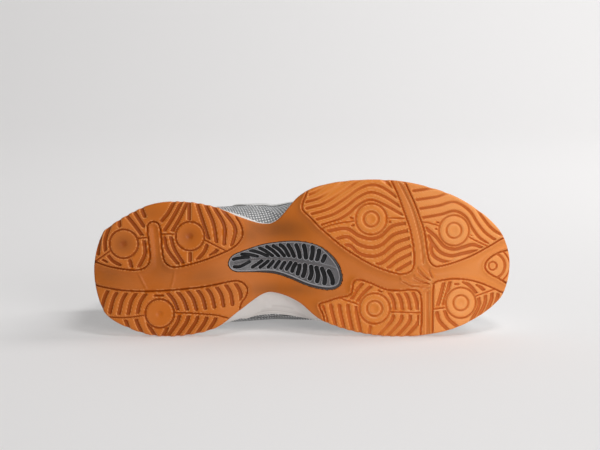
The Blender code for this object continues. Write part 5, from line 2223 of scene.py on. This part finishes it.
@dataclass
class Studio:
    """Pale sweep, soft lights and the camera at the photograph's angle."""

    elevation: float = 9.5
    distance: float = 1.25
    sensor: float = 36.0
    frame_width: float = 0.4252
    aim: Point = (146.6, -30.7, 0.0)
    surround: tuple = (1.0, 0.99, 0.98, 1.0)
    surround_strength: float = 0.14
    bend_steps: int = 24

    # Name, place, size, power and aim of the lights
    LIGHTS = (
        ("main", (0.55, -1.25, 0.5), 0.5, 7.0, (0.0, -0.03, 0.04)),
        ("key", (0.3, -0.36, 1.1), 0.3, 3.7, (0.02, -0.05, 0.05)),
        ("backdrop", (1.1, 0.5, 1.3), 1.0, 25.0, (-0.1, 2.0, 0.6)),
    )

    # Sweep: front, start and radius of the bend, top and half width
    SWEEP = (-2.5, 1.2, 0.8, 3.0, 3.0)

    def build(self, placement: Placement, paper: Material) -> None:
        """Builds the floor, backdrop, lights and camera.

        Args:
            placement: Where the shoe lies.
            paper: Finish of the sweep.
        """
        self._sweep(paper)
        self._lights()
        target = Vector(placement.world(np.array(self.aim)))
        tilt = radians(self.elevation)
        look = Vector((0.0, cos(tilt), -sin(tilt)))
        camera = bpy.data.cameras.new("camera")
        camera.sensor_width = self.sensor
        camera.lens = self.sensor * self.distance / self.frame_width
        seat = bpy.data.objects.new("camera", camera)
        seat.location = target - look * self.distance
        seat.rotation_euler = look.to_track_quat("-Z", "Y").to_euler()
        bpy.context.scene.collection.objects.link(seat)
        bpy.context.scene.camera = seat

    def _sweep(self, paper: Material) -> None:
        """Floor that curves up into the backdrop: a level run, a quarter circle and an upright run."""
        front, bend, radius, top, side = self.SWEEP
        turn = np.linspace(0, pi / 2, self.bend_steps)
        depth = np.concatenate([[front], bend + radius * np.sin(turn), [bend + radius]])
        height = np.concatenate([[0.0], radius * (1 - np.cos(turn)), [top]])
        across = np.array((-side, 0.0, side))
        points = np.stack([np.stack([np.full_like(depth, x), depth, height], -1) for x in across], 1)
        mesh = bpy.data.meshes.new("studio_sweep")
        mesh.from_pydata(points.reshape(-1, 3).tolist(), [], grid_quads(len(depth), len(across)).tolist())
        mesh.materials.append(paper)
        mesh.shade_smooth()
        made = bpy.data.objects.new("studio_sweep", mesh)
        bpy.context.scene.collection.objects.link(made)

    def _lights(self) -> None:
        """A soft light beside the camera, a key from above, one on the backdrop and an even surround."""
        for name, place, size, power, aim in self.LIGHTS:
            lamp = bpy.data.lights.new(name, "AREA")
            lamp.size = size
            lamp.energy = power
            made = bpy.data.objects.new(name, lamp)
            made.location = place
            made.rotation_euler = (Vector(aim) - Vector(place)).to_track_quat("-Z", "Y").to_euler()
            bpy.context.scene.collection.objects.link(made)
        world = bpy.data.worlds.new("surround")
        world.use_nodes = True
        ground = next(n for n in world.node_tree.nodes if n.type == "BACKGROUND")
        ground.inputs["Color"].default_value = self.surround
        ground.inputs["Strength"].default_value = self.surround_strength
        bpy.context.scene.world = world
        bpy.context.scene.view_settings.view_transform = "Standard"


def main() -> None:
    logging.basicConfig(level=logging.INFO, format="%(name)s: %(message)s")
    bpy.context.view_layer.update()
    placement = Placement.from_record(frame["record"])
    last = Last()
    leather = CoatedLeather().material()
    lining = WovenCloth("lining_grey_cloth", paint(122, 124, 128), paint(88, 90, 94), 1.1).material()
    Studio().build(placement, PaleStudio().material())
    Outsole(placement).build(GumRubber().material())
    Shank(placement).build(ShankPlastic().material())
    Midsole(placement).build(MouldedFoam().material())
    Upper(placement, last).build(KnitMesh().material(), lining)
    for patch in (TOE_CAP, HEEL_COUNTER, EYESTAY):
        Overlay(placement, last, patch).build(leather)
    thread = WovenCloth("seam_white_thread", paint(226, 226, 224), paint(184, 183, 180), 0.5).material()
    Stitching(placement, last).build(thread, (TOE_CAP, HEEL_COUNTER, EYESTAY))
    cover = WovenCloth("insole_grey_cloth", paint(110, 112, 116), paint(74, 76, 80), 1.3).material()
    Insole(placement, last).build(cover)
    tongue_knit = KnitMesh("tongue_mesh_knit", paint(146, 148, 151), paint(206, 206, 206), 2.6, 0.6)
    Tongue(placement).build(tongue_knit.material(), lining)
    white = WovenCloth("lace_white_weave", paint(232, 232, 230), paint(196, 195, 192), 0.8, 0.0003).material()
    Laces(placement, last).build(white)


if __name__ == "__main__":
    main()
